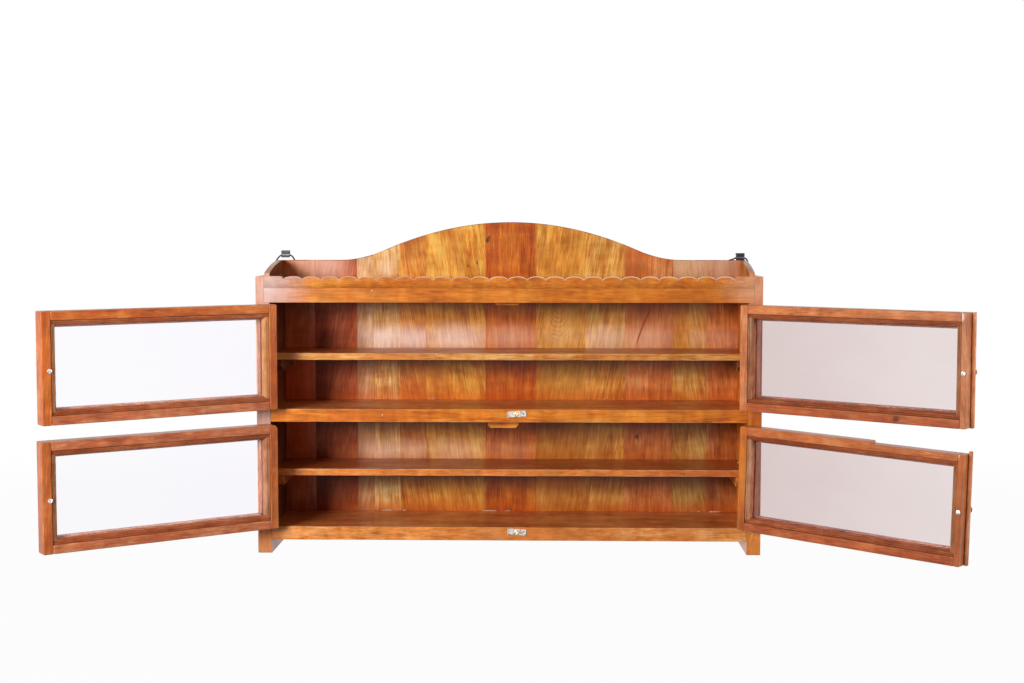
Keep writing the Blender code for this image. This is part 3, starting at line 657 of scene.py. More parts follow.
plankPlan = {
    "edges": (-0.44425, -0.375, -0.294, -0.262, -0.212, -0.162, -0.048,
              0.049, 0.142, 0.218, 0.309, 0.340, 0.374, 0.44425),
    "tones": ("rust", "pink", "pale", "paleGold", "amber", "gold", "orange",
              "yellow", "honey", "russet", "honey", "honey", "russet"),
    "contrast": (0.8, 0.9, 1.0, 1.2, 1.1, 1.2, 1.0, 1.1, 1.1, 0.9, 1.0, 1.1, 0.9),
    "flames": (0, 0, 0, 0, 0, 0, 0, 0.3, 0.3, 0.2, 0.2, 0, 0),
    "arches": {7: ((0.090, -0.012, 0.150), 0.040, 0.0092, "#E8C090", 0.22)},
    "face": -0.012,
    # plank number: x, z, radius, squeeze along the grain, colour, share; the broad pale hazes are painted
    # glare and the tiny dark spots are knots
    "marksAndGlare": {
        # plank 0: a painted orange bounce light low in its shaded end, and painted glare on the crest
        0: ((-0.410, 0.000, 0.130, 0.5, "#F6702E", 0.9), (-0.375, 0.276, 0.060, 1.0, "#DCAE98", 0.55)),
        1: ((-0.355, 0.276, 0.070, 1.0, "#DCAE98", 0.7),),
        # plank 2: painted glare, and narrow dark strips along its left edge that are painted shadow
        2: ((-0.278, 0.130, 0.090, 2.4, "#DABAAC", 0.6), (-0.278, -0.085, 0.080, 2.4, "#D2AA92", 0.5),
            (-0.296, 0.100, 0.026, 0.17, "#8E4A2A", 0.6), (-0.296, -0.110, 0.026, 0.17, "#7E4026", 0.6)),
        3: ((-0.236, 0.130, 0.090, 2.4, "#DEC2B4", 0.9), (-0.24, 0.262, 0.030, 0.8, "#E8C4A4", 0.5),
            (-0.236, -0.085, 0.080, 2.4, "#D2AA92", 0.6)),
        4: ((-0.186, 0.130, 0.090, 2.4, "#DEBEB0", 0.9), (-0.186, -0.085, 0.080, 2.4, "#D2A888", 0.6)),
        5: ((-0.118, 0.268, 0.0028, 0.8, "#4A240C", 0.9), (-0.082, 0.270, 0.0028, 0.8, "#4A240C", 0.9),
            (-0.066, 0.276, 0.0036, 0.6, "#5A3E30", 0.9), (-0.055, 0.275, 0.0030, 0.6, "#4A240C", 0.9),
            (-0.105, 0.130, 0.110, 2.6, "#DCBAA8", 0.9), (-0.105, -0.085, 0.100, 2.6, "#D2A480", 0.6)),
        6: ((-0.0432, 0.3150, 0.0056, 0.9, "#4A2A16", 0.95), (-0.0398, 0.3205, 0.0044, 0.9, "#5A3A20", 0.95),
            (0.0, 0.130, 0.100, 2.6, "#D49C7C", 0.7), (0.0, -0.085, 0.090, 2.6, "#C48A66", 0.4)),
        7: ((0.095, -0.115, 0.150, 0.8, "#A4561A", 0.7), (0.095, 0.130, 0.090, 2.4, "#DCAE80", 0.3)),
        8: ((0.180, 0.130, 0.090, 2.4, "#E0B89A", 0.75),),
        9: ((0.2425, -0.0595, 0.0042, 0.7, "#4A2410", 0.85), (0.264, 0.130, 0.100, 2.6, "#D8A484", 0.7)),
        10: ((0.325, 0.268, 0.060, 1.0, "#DDB294", 0.6),),
        11: ((0.357, 0.268, 0.060, 1.0, "#DDB294", 0.6), (0.357, 0.130, 0.070, 2.4, "#D0A07C", 0.5)),
        12: ((0.400, 0.268, 0.070, 1.0, "#DDB294", 0.6), (0.400, 0.130, 0.080, 2.4, "#CC9474", 0.5)),
    },
    "streaks": {9: (((0.242, -0.012, 0.112), (0.278, -0.012, 0.198), 0.0024, "#8A2E0C"),)},
    "coats": {1: 0.15},  # this plank has lost some of its gloss
    "ease": 0.0003, "crestEase": 0.0014,
    # painted shade, darker towards the foot: from, to, share; some planks darken more
    "fade": (-0.20, 0.05, 0.80),
    "shadeFades": {1: (-0.20, 0.25, 0.62), 7: (-0.20, 0.27, 0.66), 10: (-0.20, 0.12, 0.54),
              11: (-0.20, 0.12, 0.54), 12: (-0.20, 0.12, 0.54)},
    # painted shade under each board: level, reach, share
    "shadeBands": ((0.2048, 0.050, 0.52), (0.0983, 0.060, 0.40), (-0.0118, 0.066, 0.34),
              (-0.1153, 0.070, 0.34)),
    # painted bounce light, redder above each board: level, reach, colour, share
    "warm": ((0.0118, 0.030, "#C0520E", 0.60), (-0.1023, 0.020, "#A84A14", 0.35),
             (-0.2038, 0.028, "#AE460E", 0.60)),
    "edgeTone": "#7A2C0C", "edgeShare": 0.9,
    "bottom": -0.228, "crestStep": 0.006,
    "crestEnd": 0.27875, "rise": 0.072, "halfSpan": 0.328, "crownSpan": 0.240,
}


def crestHeight(x, plan):
    run = abs(x)
    shoulder = plan["rise"] * plan["crownSpan"] / plan["halfSpan"]
    if run >= plan["halfSpan"]:
        return plan["crestEnd"]
    if run <= plan["crownSpan"]:
        return plan["crestEnd"] + plan["rise"] - shoulder * (run / plan["crownSpan"]) ** 2
    tail = (plan["halfSpan"] - run) / (plan["halfSpan"] - plan["crownSpan"])
    return plan["crestEnd"] + (plan["rise"] - shoulder) * tail ** 2


def makePlanks(plan):
    low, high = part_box("back_panel")
    edges = plan["edges"]
    last = len(edges) - 2
    for i, (x0, x1) in enumerate(zip(edges, edges[1:])):
        if i in (0, last):
            # the end planks keep the hanger pockets in their backs
            bm = keepBetween(nodeMesh("back_panel"), x0, x1)
        else:
            steps = max(2, round((x1 - x0) / plan["crestStep"]))
            runs = [x1 + (x0 - x1) * k / steps for k in range(steps + 1)]
            outline = [(x0, plan["bottom"]), (x1, plan["bottom"])] + [(x, crestHeight(x, plan)) for x in runs]
            bm = prismMesh(outline, "y", low.y, high.y)

        def onCrest(edge):
            return all(v.co.z > crestHeight(v.co.x, plan) - 0.0004 and v.co.y < low.y + 0.0001
                       for v in edge.verts)

        # the joints stay tight, and only the crest's rounded edge shows a darker line
        easeEdges(bm, plan["ease"], 2, 25.0, lambda edge: not onCrest(edge))
        easeEdges(bm, plan["crestEase"], 4, 40.0, onCrest)
        seed = i + 1.0
        gloss = dict(varnish, coat=plan["coats"].get(i, varnish["coat"]))
        marksAndGlare = [((x, plan["face"], z), *rest) for x, z, *rest in plan["marksAndGlare"][i]]
        finish = woodFinish(
            "plankWood%02d" % (i + 1), plan["tones"][i], "z", seed, marksAndGlare, plan["streaks"].get(i, ()),
            plan["flames"][i], plan["contrast"][i], plan["edgeTone"], plan["edgeShare"],
            plan["shadeFades"].get(i, plan["fade"]), plan["shadeBands"], plan["warm"], plan["arches"].get(i), gloss)
        addPiece("back_plank_%02d" % (i + 1), bm, "carcase", finish, "back_panel", "z", seed)


makePlanks(plankPlan)
print("planks set")


# carcase boards, shelves, cleats and door stops

carcasePlan = {
    # node: tone, grain axis, edge rounding, hand-planed wander, marks and painted glare
    # the pale hazes on the side panels' front edges and on the left fin's top are painted glare
    "left_side_panel": ("side", "z", 0.0014, 0.0, (
        ((-0.4445, -0.18, 0.225), 0.060, 0.8, "#D0A898", 0.75),
        ((-0.4445, -0.18, 0.0), 0.060, 0.8, "#D4B0A4", 0.75),
        ((-0.4445, -0.18, -0.245), 0.040, 0.8, "#D48E5C", 0.6),
        ((-0.440, -0.08, 0.275), 0.050, 0.8, "#D8AE96", 0.6))),
    "right_side_panel": ("side", "z", 0.0014, 0.0, (
        ((0.4445, -0.18, -0.245), 0.040, 0.8, "#D4823C", 0.6),
        ((0.4445, -0.18, 0.230), 0.050, 0.8, "#DCA284", 0.7))),
    "bottom_board": ("boardPale", "x", 0.0014, 0.0004, ()),
    # the small pale flecks on the front edges of the middle board and upper shelf are painted highlights
    "middle_board": ("board", "x", 0.0014, 0.0004, (
        ((-0.2285, -0.18, 0.0010), 0.0016, 1.0, "#E6D6C6", 0.9),)),
    "top_board": ("side", "x", 0.0008, 0.0, ()),
    "lower_shelf": ("lowerEdge", "x", 0.0020, 0.0005, ()),
    "upper_shelf": ("shelfEdge", "x", 0.0020, 0.0005, (
        ((-0.130, -0.148, 0.1102), 0.0024, 0.8, "#F0E4D4", 0.95),)),
    "left_lower_shelf_cleat": ("side", "y", 0.0008, 0.0, ()),
    "right_lower_shelf_cleat": ("side", "y", 0.0008, 0.0, ()),
    # the upper cleats take the dark painted-shade tone
    "left_upper_shelf_cleat": ("paintedShade", "y", 0.0008, 0.0, ()),
    "right_upper_shelf_cleat": ("paintedShade", "y", 0.0008, 0.0, ()),
    "upper_door_stop": ("board", "x", 0.0010, 0.0, ()),
    "lower_door_stop": ("board", "x", 0.0010, 0.0, ()),
}


flatFaceShades = {       # tone of each board's flat faces, painted shade set apart from the lit front edges
    "upper_shelf": "boardTop", "middle_board": "floorTop", "bottom_board": "floorTop",
    "lower_shelf": "shelfTop",
}
flatFrom = 0.7      # share of a normal along its axis from which a face counts as flat
touching = 0.0001   # corners this near lie on a joint


def makeCarcase(plan):
    plain = {}
    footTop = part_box("bottom_board")[0][2]
    railLow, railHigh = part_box("gallery_front_rail")

    def offRail(edge):
        # the joint of rail and side panel stays tight
        return not all(
            railLow.z - touching < v.co.z < railHigh.z + touching and abs(abs(v.co.x) - railHigh.x) < touching
            for v in edge.verts)

    shadedFlats = {tone: woodFinish(tone + "Wood", tone) for tone in dict.fromkeys(flatFaceShades.values())}
    dull = dict(varnish, coat=0.0, specular=0.02)
    insides = {
        "left_side_panel": (1, woodFinish("shadedWood", "paintedShade", "z", plan=dull)),
        "right_side_panel": (-1, woodFinish("innerSideWood", "side", "z", plan=dull)),
    }
    for k, (node, (tone, axis, ease, wander, marksAndGlare)) in enumerate(plan.items()):
        seed = 20.0 + k
        bm = easeEdges(nodeMesh(node), ease, 3, only=offRail)
        second = None
        if wander:
            second = shadedFlats[flatFaceShades[node]]
            handWave(bm, "x", wander, seed)
            bm.normal_update()
            # tops and undersides take the painted-shade tone
            for face in bm.faces:
                face.material_index = int(abs(face.normal.z) > flatFrom)
        if node in insides:
            # the left inner face takes the dark painted-shade tone and both inner faces lose their coat, down
            # to the foot
            hand, second = insides[node]
            cutAcross(bm, (0, 0, footTop), (0, 0, 1))
            for face in bm.faces:
                inside = face.normal.x * hand > flatFrom and face.calc_center_median().z > footTop
                face.material_index = int(inside)
        if marksAndGlare:
            finish = woodFinish(node.replace("_", "") + "Wood", tone, axis, seed, marksAndGlare)
        else:
            if tone not in plain:
                plain[tone] = woodFinish(tone + "Wood", tone)
            finish = plain[tone]
        addPiece(node + "_dressed", bm, "carcase", finish, node, axis, seed, second=second)


makeCarcase(carcasePlan)

railPlan = {
    "count": 24, "rise": 0.007, "endFlat": 0.050, "halfWidth": 0.457, "steps": 14, "ease": 0.0030,
    "seam": 0.2308,           # the scalloped strip is glued on a plain one
    "wander": 0.0004, "contrast": 0.9, "plainWorn": 0.1, "lowerEase": 0.0002,
    "seeds": (41.0, 42.0),
    "fill": ((-0.2475, -0.18, 0.2265), 0.0015, 1.0, "#E2C4A4", 0.8),
    # the two broad pale hazes at the rail's ends are painted glare
    "haze": ((-0.450, -0.18, 0.232), 0.078, 0.70, "#C6AEAA", 0.90),
    "farHaze": ((0.452, -0.18, 0.232), 0.065, 0.70, "#DCA684", 0.75),
    # the scallops' rounded edges and the line along them are a painted highlight in this colour
    "wearAndGlint": "#FBE6DC", "glintShare": 0.9,
    # the painted highlight line: width, share to the left and right, where it grows, how far back it goes
    "lineWide": 0.0017, "lineShare": (0.16, 0.62), "lineGrows": (-0.35, 0.15), "lineFrom": -0.1772,
}


def paintScallopHighlight(finish, plan, first, pitch, notch):
    # a painted highlight line that follows the scalloped edge, stronger to the right
    tree = finish.node_tree
    base = tree.nodes["Principled BSDF"].inputs["Base Color"]
    place = put(tree, "SeparateXYZ")
    feed(tree, place.inputs[0], put(tree, "TexCoord").outputs["Object"])
    x, z = place.outputs["X"], place.outputs["Z"]
    across = calc(tree, "FRACT", calc(tree, "DIVIDE", calc(tree, "ADD", x, first), pitch))
    across = calc(tree, "SUBTRACT", times(tree, across, 2.0), 1.0)
    arc = calc(tree, "SQRT", calc(tree, "SUBTRACT", 1.0, times(tree, across, across), True))
    edge = calc(tree, "ADD", times(tree, arc, plan["rise"]), notch)
    line = spread(tree, calc(tree, "SUBTRACT", edge, z), plan["lineWide"], plan["lineWide"] * 0.4)
    inside = calc(tree, "LESS_THAN", calc(tree, "ABSOLUTE", x), first)
    inside = times(tree, inside, calc(tree, "LESS_THAN", place.outputs["Y"], plan["lineFrom"]))
    share = times(tree, line, inside, spread(tree, x, *plan["lineGrows"], *plan["lineShare"]))
    feed(tree, base, blend(tree, share, base.links[0].from_socket, srgb(plan["wearAndGlint"])))


def makeRail(plan):
    low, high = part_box("gallery_front_rail")
    first = plan["halfWidth"] - plan["endFlat"]
    pitch = 2 * first / plan["count"]
    notch = high.z - plan["rise"]
    seam = plan["seam"]

    def bow(centre, halfWide, start, end, steps):
        turns = [math.radians(start + (end - start) * k / steps) for k in range(steps + 1)]
        return [(centre + halfWide * math.cos(t), notch + plan["rise"] * math.sin(t)) for t in turns]

    outline = [(low.x, seam), (high.x, seam), (high.x, high.z)]
    outline += bow(first + plan["rise"], plan["rise"], 90, 180, 7)[:-1]
    for i in range(plan["count"]):
        outline += bow(first - pitch * (i + 0.5), pitch / 2, 0, 180, plan["steps"])[:-1]
    outline += [(-first, notch)] + bow(-first - plan["rise"], plan["rise"], 0, 90, 7)[1:]
    outline.append((low.x, high.z))

    def offEnds(edge):
        # the ends stay sharp where they meet the side panels
        return min(abs(v.co.x) for v in edge.verts) < high.x - touching

    upper = easeEdges(prismMesh(outline, "y", low.y, high.y), plan["ease"], 3, 40.0, offEnds)
    # the rounded top edges of the scallops carry a painted highlight; it is kept off the edges below the
    # notches
    wear = upper.verts.layers.float["wear"]
    for vert in upper.verts:
        if vert.co.z < notch - 0.001:
            vert[wear] = 0.0
    ends = [(low.x, low.z), (high.x, low.z), (high.x, seam), (low.x, seam)]
    lower = easeEdges(prismMesh(ends, "y", low.y, high.y), plan["lowerEase"], 1)
    one, two = plan["seeds"]
    handWave(lower, "x", plan["wander"], two)
    endGlares = (plan["haze"], plan["farHaze"])
    scalloped = woodFinish("scallopWood", "rail", "x", one, endGlares, contrast=plan["contrast"],
                           worn=plan["wearAndGlint"], wearAndGlintShare=plan["glintShare"])
    plain = woodFinish("railWood", "rail", "x", two, (plan["fill"],) + endGlares, contrast=plan["contrast"],
                       wearAndGlintShare=plan["plainWorn"])
    paintScallopHighlight(scalloped, plan, first, pitch, notch)
    node = "gallery_front_rail"
    addPiece("gallery_scalloped_strip", upper, "carcase", scalloped, node, "x", one)
    addPiece("gallery_lower_strip", lower, "carcase", plain, node, "x", two)


makeRail(railPlan)
print("carcase and rail set")


# glazed doors: stiles run through, rails butt between them, beads hold the panes

doorPlan = {
    "hingeStile": 0.027, "leftMeeting": 0.0283, "rightMeeting": 0.0218, "rail": 0.0275,
    "rebate": 0.012, "lip": 0.010, "thick": 0.028, "proud": 0.0032, "hingeGap": 0.0017,
    "leftWidth": 0.4268, "rightWidth": 0.42045,
    "leftKnob": 0.0128, "rightKnob": 0.0048, "knobDrop": 0.004,
    "beadGap": 0.0006, "beadWide": 0.0085, "beadFrom": 0.0167, "beadTo": 0.0292,
    "ease": 0.0018, "wander": 0.0003,
    "levels": {"upper": (0.01375, 0.20275), "lower": (-0.20175, -0.01375)},
    "screwTurn": {"upper_left": 0.6, "upper_right": -0.4, "lower_left": 1.3, "lower_right": 0.2},
    "knobLength": 0.0145, "knobRadius": 0.007,
    # turned knob from its tip to the door: share of the radius, share of the length
    "knobProfile": (
        (0, 0), (0.42, 0.02), (0.76, 0.085), (0.95, 0.18), (1.0, 0.28), (0.97, 0.37), (0.84, 0.47),
        (0.62, 0.55), (0.47, 0.61), (0.40, 0.68), (0.385, 0.75), (0.40, 0.81), (0.44, 0.85), (0.48, 0.86),
        (0.50, 0.885), (0.48, 0.91), (0.45, 0.925), (0.49, 0.94), (0.50, 0.985), (0.48, 1.0), (0, 1.0)),
    "knobScrew": (0.0040, 0.0018, 0.0011),      # radius, height, slot
    "shank": 0.0018,
    "topStep": (0.253, 0.0040),     # place from the hinge line and drop, lower right door
    "wornCorner": 0.009,            # lower left door
    "contrast": 0.8, "wearAndGlintShare": 0.12,
}

doorWoods = {
    # door: stiles, top rail, bottom rail, upright beads
    "upper_left": ("stile", "doorRail", "railRose", "beadTan"),
    "upper_right": ("stilePink", "railPink", "railRed", "beadBrown"),
    "lower_left": ("stileDeep", "railRose", "railRose", "beadBrown"),
    "lower_right": ("stile", "railPink", "railRed", "beadBrown"),
}

doorMarksAndHighlights = {
    # piece: place on the shut door from its hinge line, radius, squeeze along the grain, colour, share
    "upper_right_bottom_rail": (((-0.300, 0.0312, 0.0235), 0.0060, 0.7, "#5E2810", 0.85),),
    "lower_right_hinge_stile": (
        ((-0.012, 0.0312, -0.085), 0.070, 0.7, "#CE7824", 0.7),
        ((-0.012, 0.0312, -0.190), 0.030, 0.8, "#8A4418", 0.7)),
    "lower_right_meeting_stile": (
        ((-0.410, 0.0312, -0.150), 0.120, 0.6, "#9A5636", 0.6),
        ((-0.412, 0.0312, -0.020), 0.0060, 0.8, "#E6CBB4", 0.8)),
    # the pale spot at the top of the upper right meeting stile is a painted highlight
    "upper_right_meeting_stile": (((-0.414, 0.0312, 0.197), 0.0065, 0.5, "#F4E4DA", 0.8),),
}

doorFinishes = {}


def doorFinish(tone):
    # one finish for each tone, little worn at the joints
    if tone not in doorFinishes:
        gloss = beadVarnish if tone.startswith("bead") else varnish
        doorFinishes[tone] = woodFinish(tone + "Wood", tone, contrast=doorPlan["contrast"],
                                        wearAndGlintShare=doorPlan["wearAndGlintShare"], plan=gloss)
    return doorFinishes[tone]


def stileMesh(inner, rebate, z0, z1, y, hand, start):
    # L section, upright; inner is the sight width and start the outer edge, both along the door
    out, lip, back = y
    points = [(0, out), (inner, out), (inner, lip), (inner - rebate, lip), (inner - rebate, back), (0, back)]
    return prismMesh([(start + hand * s, depth) for s, depth in points], "z", z0, z1)


def railMesh(lipEnds, backEnds, zOut, zSight, zSeat, y):
    # rebated rail between the stiles, its back longer than its lip
    out, lip, back = y
    (a, b), (c, d) = lipEnds, backEnds
    spots = [
        (a, out, zOut), (b, out, zOut), (b, out, zSight), (a, out, zSight), (a, lip, zOut), (b, lip, zOut),
        (b, lip, zSight), (a, lip, zSight), (a, lip, zSeat), (b, lip, zSeat), (c, lip, zOut), (d, lip, zOut),
        (d, lip, zSeat), (c, lip, zSeat), (c, back, zOut), (d, back, zOut), (d, back, zSeat),
        (c, back, zSeat)]
    faces = [
        (0, 1, 2, 3), (3, 2, 6, 7), (7, 6, 9, 8), (0, 3, 7, 8, 4), (1, 5, 9, 6, 2), (10, 4, 8, 13),
        (5, 11, 12, 9), (13, 8, 9, 12, 16, 17), (14, 17, 16, 15), (0, 4, 10, 14, 15, 11, 5, 1),
        (10, 13, 17, 14), (11, 15, 16, 12)]
    bm = bmesh.new()
    verts = [bm.verts.new(spot) for spot in spots]
    for face in faces:
        bm.faces.new([verts[k] for k in face])
    return bm


def beadSection(plan):
    # (in from the rebate, depth): flat, quirk and quarter round towards the glass
    wide, low, top = plan["beadWide"], plan["beadFrom"], plan["beadTo"]
    points = [(0, low), (wide, low)]
    for k in range(7):
        turn = math.radians(90 * k / 6)
        points.append((wide - 0.0048 * (1 - math.cos(turn)), top - 0.0058 + 0.0052 * math.sin(turn)))
    return points + [(0.0034, top - 0.0013), (0.0029, top - 0.0012), (0.0026, top), (0, top)]


def beadMesh(section, corner, run, inward, start, end):
    # one strip: corner, direction of run and direction in from the rebate, in the door's plane
    bm = bmesh.new()
    ends = []
    for reach in (start, end):
        loop = []
        for w, depth in section:
            spot = corner + run * reach + inward * w
            loop.append(bm.verts.new((spot.x, depth, spot.y)))
        ends.append(loop)
    bm.faces.new(ends[0])
    bm.faces.new(ends[1])
    skinBetween(bm, *ends)
    return bm


def knobMesh(centre, base, plan):
    # turned mushroom knob with a ringed foot, pointing to -y
    tip, long, wide = base - plan["knobLength"], plan["knobLength"], plan["knobRadius"]
    return turnedMesh([(wide * r, tip + long * t) for r, t in plan["knobProfile"]], "y", centre)


def makeDoor(level, side, plan, seed):
    name = level + "_" + side
    body = name + "_door"
    joint = jointOf(body)
    pin = Vector(joint["pos_m"])
    swung = Matrix.Rotation(math.radians(-joint["range_deg"][0]), 4, Vector(joint["axis"]))
    place = Matrix.Translation(pin) @ swung @ Matrix.Translation((0, 0, -pin.z))
    hand = 1 if side == "left" else -1
    z0, z1 = plan["levels"][level]
    y = (plan["proud"], plan["proud"] + plan["lip"], plan["proud"] + plan["thick"])
    near = plan["hingeGap"]
    far = near + plan[side + "Width"]
    hinge, meeting, rail, rebate = plan["hingeStile"], plan[side + "Meeting"], plan["rail"], plan["rebate"]

    hingeStile = stileMesh(hinge, rebate, z0, z1, y, hand, hand * near)
    meetingStile = stileMesh(meeting, rebate, z0, z1, y, -hand, hand * far)
    lipEnds = (hand * (near + hinge), hand * (far - meeting))
    backEnds = (hand * (near + hinge - rebate), hand * (far - meeting + rebate))
    topRail = railMesh(lipEnds, backEnds, z1, z1 - rail, z1 - rail + rebate, y)
    bottomRail = railMesh(lipEnds, backEnds, z0, z0 + rail, z0 + rail - rebate, y)
    if name == "lower_left":
        # the hinge corner at the top is worn round
        bmesh.ops.recalc_face_normals(hingeStile, faces=hingeStile.faces)
        corner = [e for e in hingeStile.edges if all(
            abs(v.co.z - z1) < 1e-6 and abs(v.co.x - hand * near) < 1e-6 for v in e.verts)]
        roundOff(hingeStile, corner, plan["wornCorner"], 6)
    if name == "lower_right":
        # its top edge is planed lower beyond a step
        stepAt, drop = plan["topStep"]
        for cut in (stepAt, stepAt + 0.0006):
            cutAcross(topRail, (hand * cut, 0, 0), (1, 0, 0))
        for bm, start in ((topRail, stepAt + 0.0003), (meetingStile, 0.0)):
            for vert in bm.verts:
                if vert.co.x * hand > start and vert.co.z > z1 - 1e-6:
                    vert.co.z -= drop

    def dress(label, bm, finish, node, axis="x", grainSeed=0.0, second=None):
        addPiece(name + "_" + label, bm, body, finish, name + "_" + node, axis, grainSeed, place,
                 second)

    stileTone, topTone, bottomTone, beadTone = doorWoods[name]
    members = (("hinge_stile", hingeStile, "z", stileTone), ("meeting_stile", meetingStile, "z", stileTone),
               ("top_rail", topRail, "x", topTone), ("bottom_rail", bottomRail, "x", bottomTone))
    for k, (label, bm, axis, tone) in enumerate(members):
        easeEdges(bm, plan["ease"], 3)
        handWave(bm, axis, plan["wander"], seed + k)
        for face in bm.faces:
            # the lip round the pane takes a darker tone, painted shade
            if y[0] + 0.0020 < face.calc_center_median().y < y[1] + 0.0004:
                face.material_index = 1
        finish = doorFinish(tone)
        marksAndGlare = doorMarksAndHighlights.get(name + "_" + label)
        if marksAndGlare:
            finish = woodFinish((name + label).replace("_", "") + "Wood", tone, axis, seed + k, marksAndGlare,
                                contrast=plan["contrast"], wearAndGlintShare=plan["wearAndGlintShare"])
        dress(label, bm, finish, "door_frame", axis, seed + k, doorFinish("revealShade"))

    seat = plan["beadGap"] - rebate
    s0, s1 = hand * (near + hinge + seat), hand * (far - meeting - seat)
    low, high = z0 + rail + seat, z1 - rail - seat
    section = beadSection(plan)
    span, tall, tuck = abs(s1 - s0), high - low, plan["beadWide"] - 0.003
    strips = (
        ("bottom", Vector((s0, low)), Vector((hand, 0)), Vector((0, 1)), 0, span, "x", "beadDark"),
        ("top", Vector((s0, high)), Vector((hand, 0)), Vector((0, -1)), 0, span, "x", "beadDark"),
        ("hinge", Vector((s0, low)), Vector((0, 1)), Vector((hand, 0)), tuck, tall - tuck, "z", beadTone),
        ("meeting", Vector((s1, low)), Vector((0, 1)), Vector((-hand, 0)), tuck, tall - tuck, "z", beadTone),
    )
    for k, (label, corner, run, inward, start, end, axis, wood) in enumerate(strips):
        bm = beadMesh(section, corner, run, inward, start, end)
        easeEdges(bm, 0.0005, 2, 40.0)
        dress(label + "_bead", bm, doorFinish(wood), "glazing_bead", axis, seed + 5 + k)

    glass = frame["nodes"][name + "_glass"]
    glass.data.materials.clear()
    glass.data.materials.append(finishes[side + "Glass"])

    knobAt = hand * (far - plan[side + "Knob"])
    middle = (z0 + z1) / 2 - plan["knobDrop"]
    bm = knobMesh((knobAt, 0, middle), plan["proud"] - 0.0002, plan)
    dress("turned_knob", bm, doorFinish("doorRail"), "knob", "y", seed + 9)
    head = slottedHead((knobAt, y[2] + 0.0001, middle), *plan["knobScrew"], plan["screwTurn"][name], 1)
    thin = plan["shank"]
    shank = [(0, -0.0062), (thin, -0.0060), (thin, y[2]), (0, y[2])]
    joinInto(head, turnedMesh(shank, "y", (knobAt, 0, middle), 12))
    dress("slotted_screw", head, finishes["zinc"], "knob_screw")


doorOrder = (("upper", "left"), ("upper", "right"), ("lower", "left"), ("lower", "right"))
for k, (level, side) in enumerate(doorOrder):
    makeDoor(level, side, doorPlan, 60.0 + 11 * k)
print("doors set")


# hinges, meeting strips, turn buttons and wall hangers

fittingPlan = {
    "leafEase": 0.0003, "stripEase": 0.0008, "strapEase": 0.0003,
    "stripSeed": 124.0, "stripFade": (-0.25, 0.22, 0.68),
    # turn button: half length, height, gap to the board, sheet, tab; tilt in degrees
    "button": (0.017, 0.011, 0.0010, 0.0012, 0.0045),
    "bend": 0.0008, "buttonCorner": 0.0022, "buttonEase": 0.00025,
    "tilt": {"upper": 4.0, "lower": -4.0},
    "buttonScrew": (0.0040, 0.0016, 0.0011),    # radius, height, slot
    "buttonHole": (0.0115, 0.0006, 0.0011),     # x, z, radius
    # hanger ring: wire, height, half width at the foot; saddle: half width, height, depth;
    # lean: how far each ring's saddle stands aside and how far it is sunk
    "ring": (0.0015, 0.0255, 0.0195),
    "saddle": (0.0085, 0.0135, 0.006),
    "lean": {"left": (0.0008, 0.0), "right": (0.0042, -0.0050)},
    "strapScrews": (-0.011, -0.021),
    "strapScrew": (0.0028, 0.0012, 0.0008),
}


def buttonMesh(plan):
    half, tall, gap, sheet, tab = plan["button"]
    near, front = -gap, -gap - sheet
    # an L of sheet with a rounded bend at its left end
    curve = plan["bend"]
    bend = [(-half + sheet + curve * (1 - math.sin(t)), front - curve * (1 - math.cos(t)))
            for t in (0, 0.5, 1.0, math.pi / 2)]
    outline = [(half, near), (half, front)] + bend + [
        (-half + sheet, front - tab), (-half, front - tab), (-half, near - 0.0006), (-half + 0.0006, near)]
    bm = prismMesh(outline, "z", -tall / 2, tall / 2)
    bmesh.ops.recalc_face_normals(bm, faces=bm.faces)

    def atFreeEnd(edge):
        a, b = (v.co for v in edge.verts)
        return abs(a.x - b.x) < 1e-6 and abs(a.z - b.z) < 1e-6 and abs(a.x - half) < 1e-6

    roundOff(bm, [e for e in bm.edges if atFreeEnd(e)], plan["buttonCorner"], 4)
    return easeEdges(bm, plan["buttonEase"], 2, 40.0)


def makeHinges(plan):
    # the meeting strips take a bright tone that is painted light on their end faces, and darken downwards
    litStrip = woodFinish("stripWood", "litStrip", "z", plan["stripSeed"], contrast=doorPlan["contrast"],
                       wearAndGlintShare=doorPlan["wearAndGlintShare"], fade=plan["stripFade"])
    for name in ("upper_left", "upper_right", "lower_left", "lower_right"):
        door, rows = name + "_door", []
        for end in ("top", "bottom"):
            for leaf, body in (("moving", door), ("fixed", "carcase")):
                node = "%s_%s_hinge_%s_leaf" % (name, end, leaf)
                rows.append((node, body, finishes["brass"], "hinge_brass", plan["leafEase"]))
        if name.endswith("right"):
            rows.append((name + "_astragal", door, litStrip, "door_wood", plan["stripEase"]))
        for node, body, finish, slot, width in rows:
            bm = easeEdges(nodeMesh(node), width, 2, 30.0)
            addPiece(node + "_dressed", bm, body, finish, node, "z", plan["stripSeed"])


def makeButton(level, plan):
    node = level + "_turn_button"
    tilt = Matrix.Rotation(math.radians(-plan["tilt"][level]), 4, "Y")
    place = Matrix.Translation(jointOf(node)["pos_m"]) @ tilt
    face = -plan["button"][2] - plan["button"][3]
    screw = slottedHead((0, face, 0), *plan["buttonScrew"], 0.8, -1)
    shank = [(0, face), (0.0018, face), (0.0018, 0.0138), (0, 0.014)]
    joinInto(screw, turnedMesh(shank, "y", (0, 0, 0), 12))
    x, z, wide = plan["buttonHole"]
    hole = [(0, face - 0.00012), (wide, face - 0.00012), (wide + 0.0002, face + 0.0001), (0, face + 0.0001)]
    hole = turnedMesh(hole, "y", (x, 0, z), 14)
    parts = (("plate", buttonMesh(plan), "nickel"), ("screw", screw, "screwBrass"), ("hole", hole, "black"))
    for label, bm, metal in parts:
        addPiece(level + "_button_" + label, bm, node, finishes[metal], node, matrix=place)


def barMesh(deep, low, high, start, end):
    # a bar along x, centred in depth
    corners = [(-deep / 2, low), (deep / 2, low), (deep / 2, high), (-deep / 2, high)]
    return prismMesh(corners, "x", start, end)


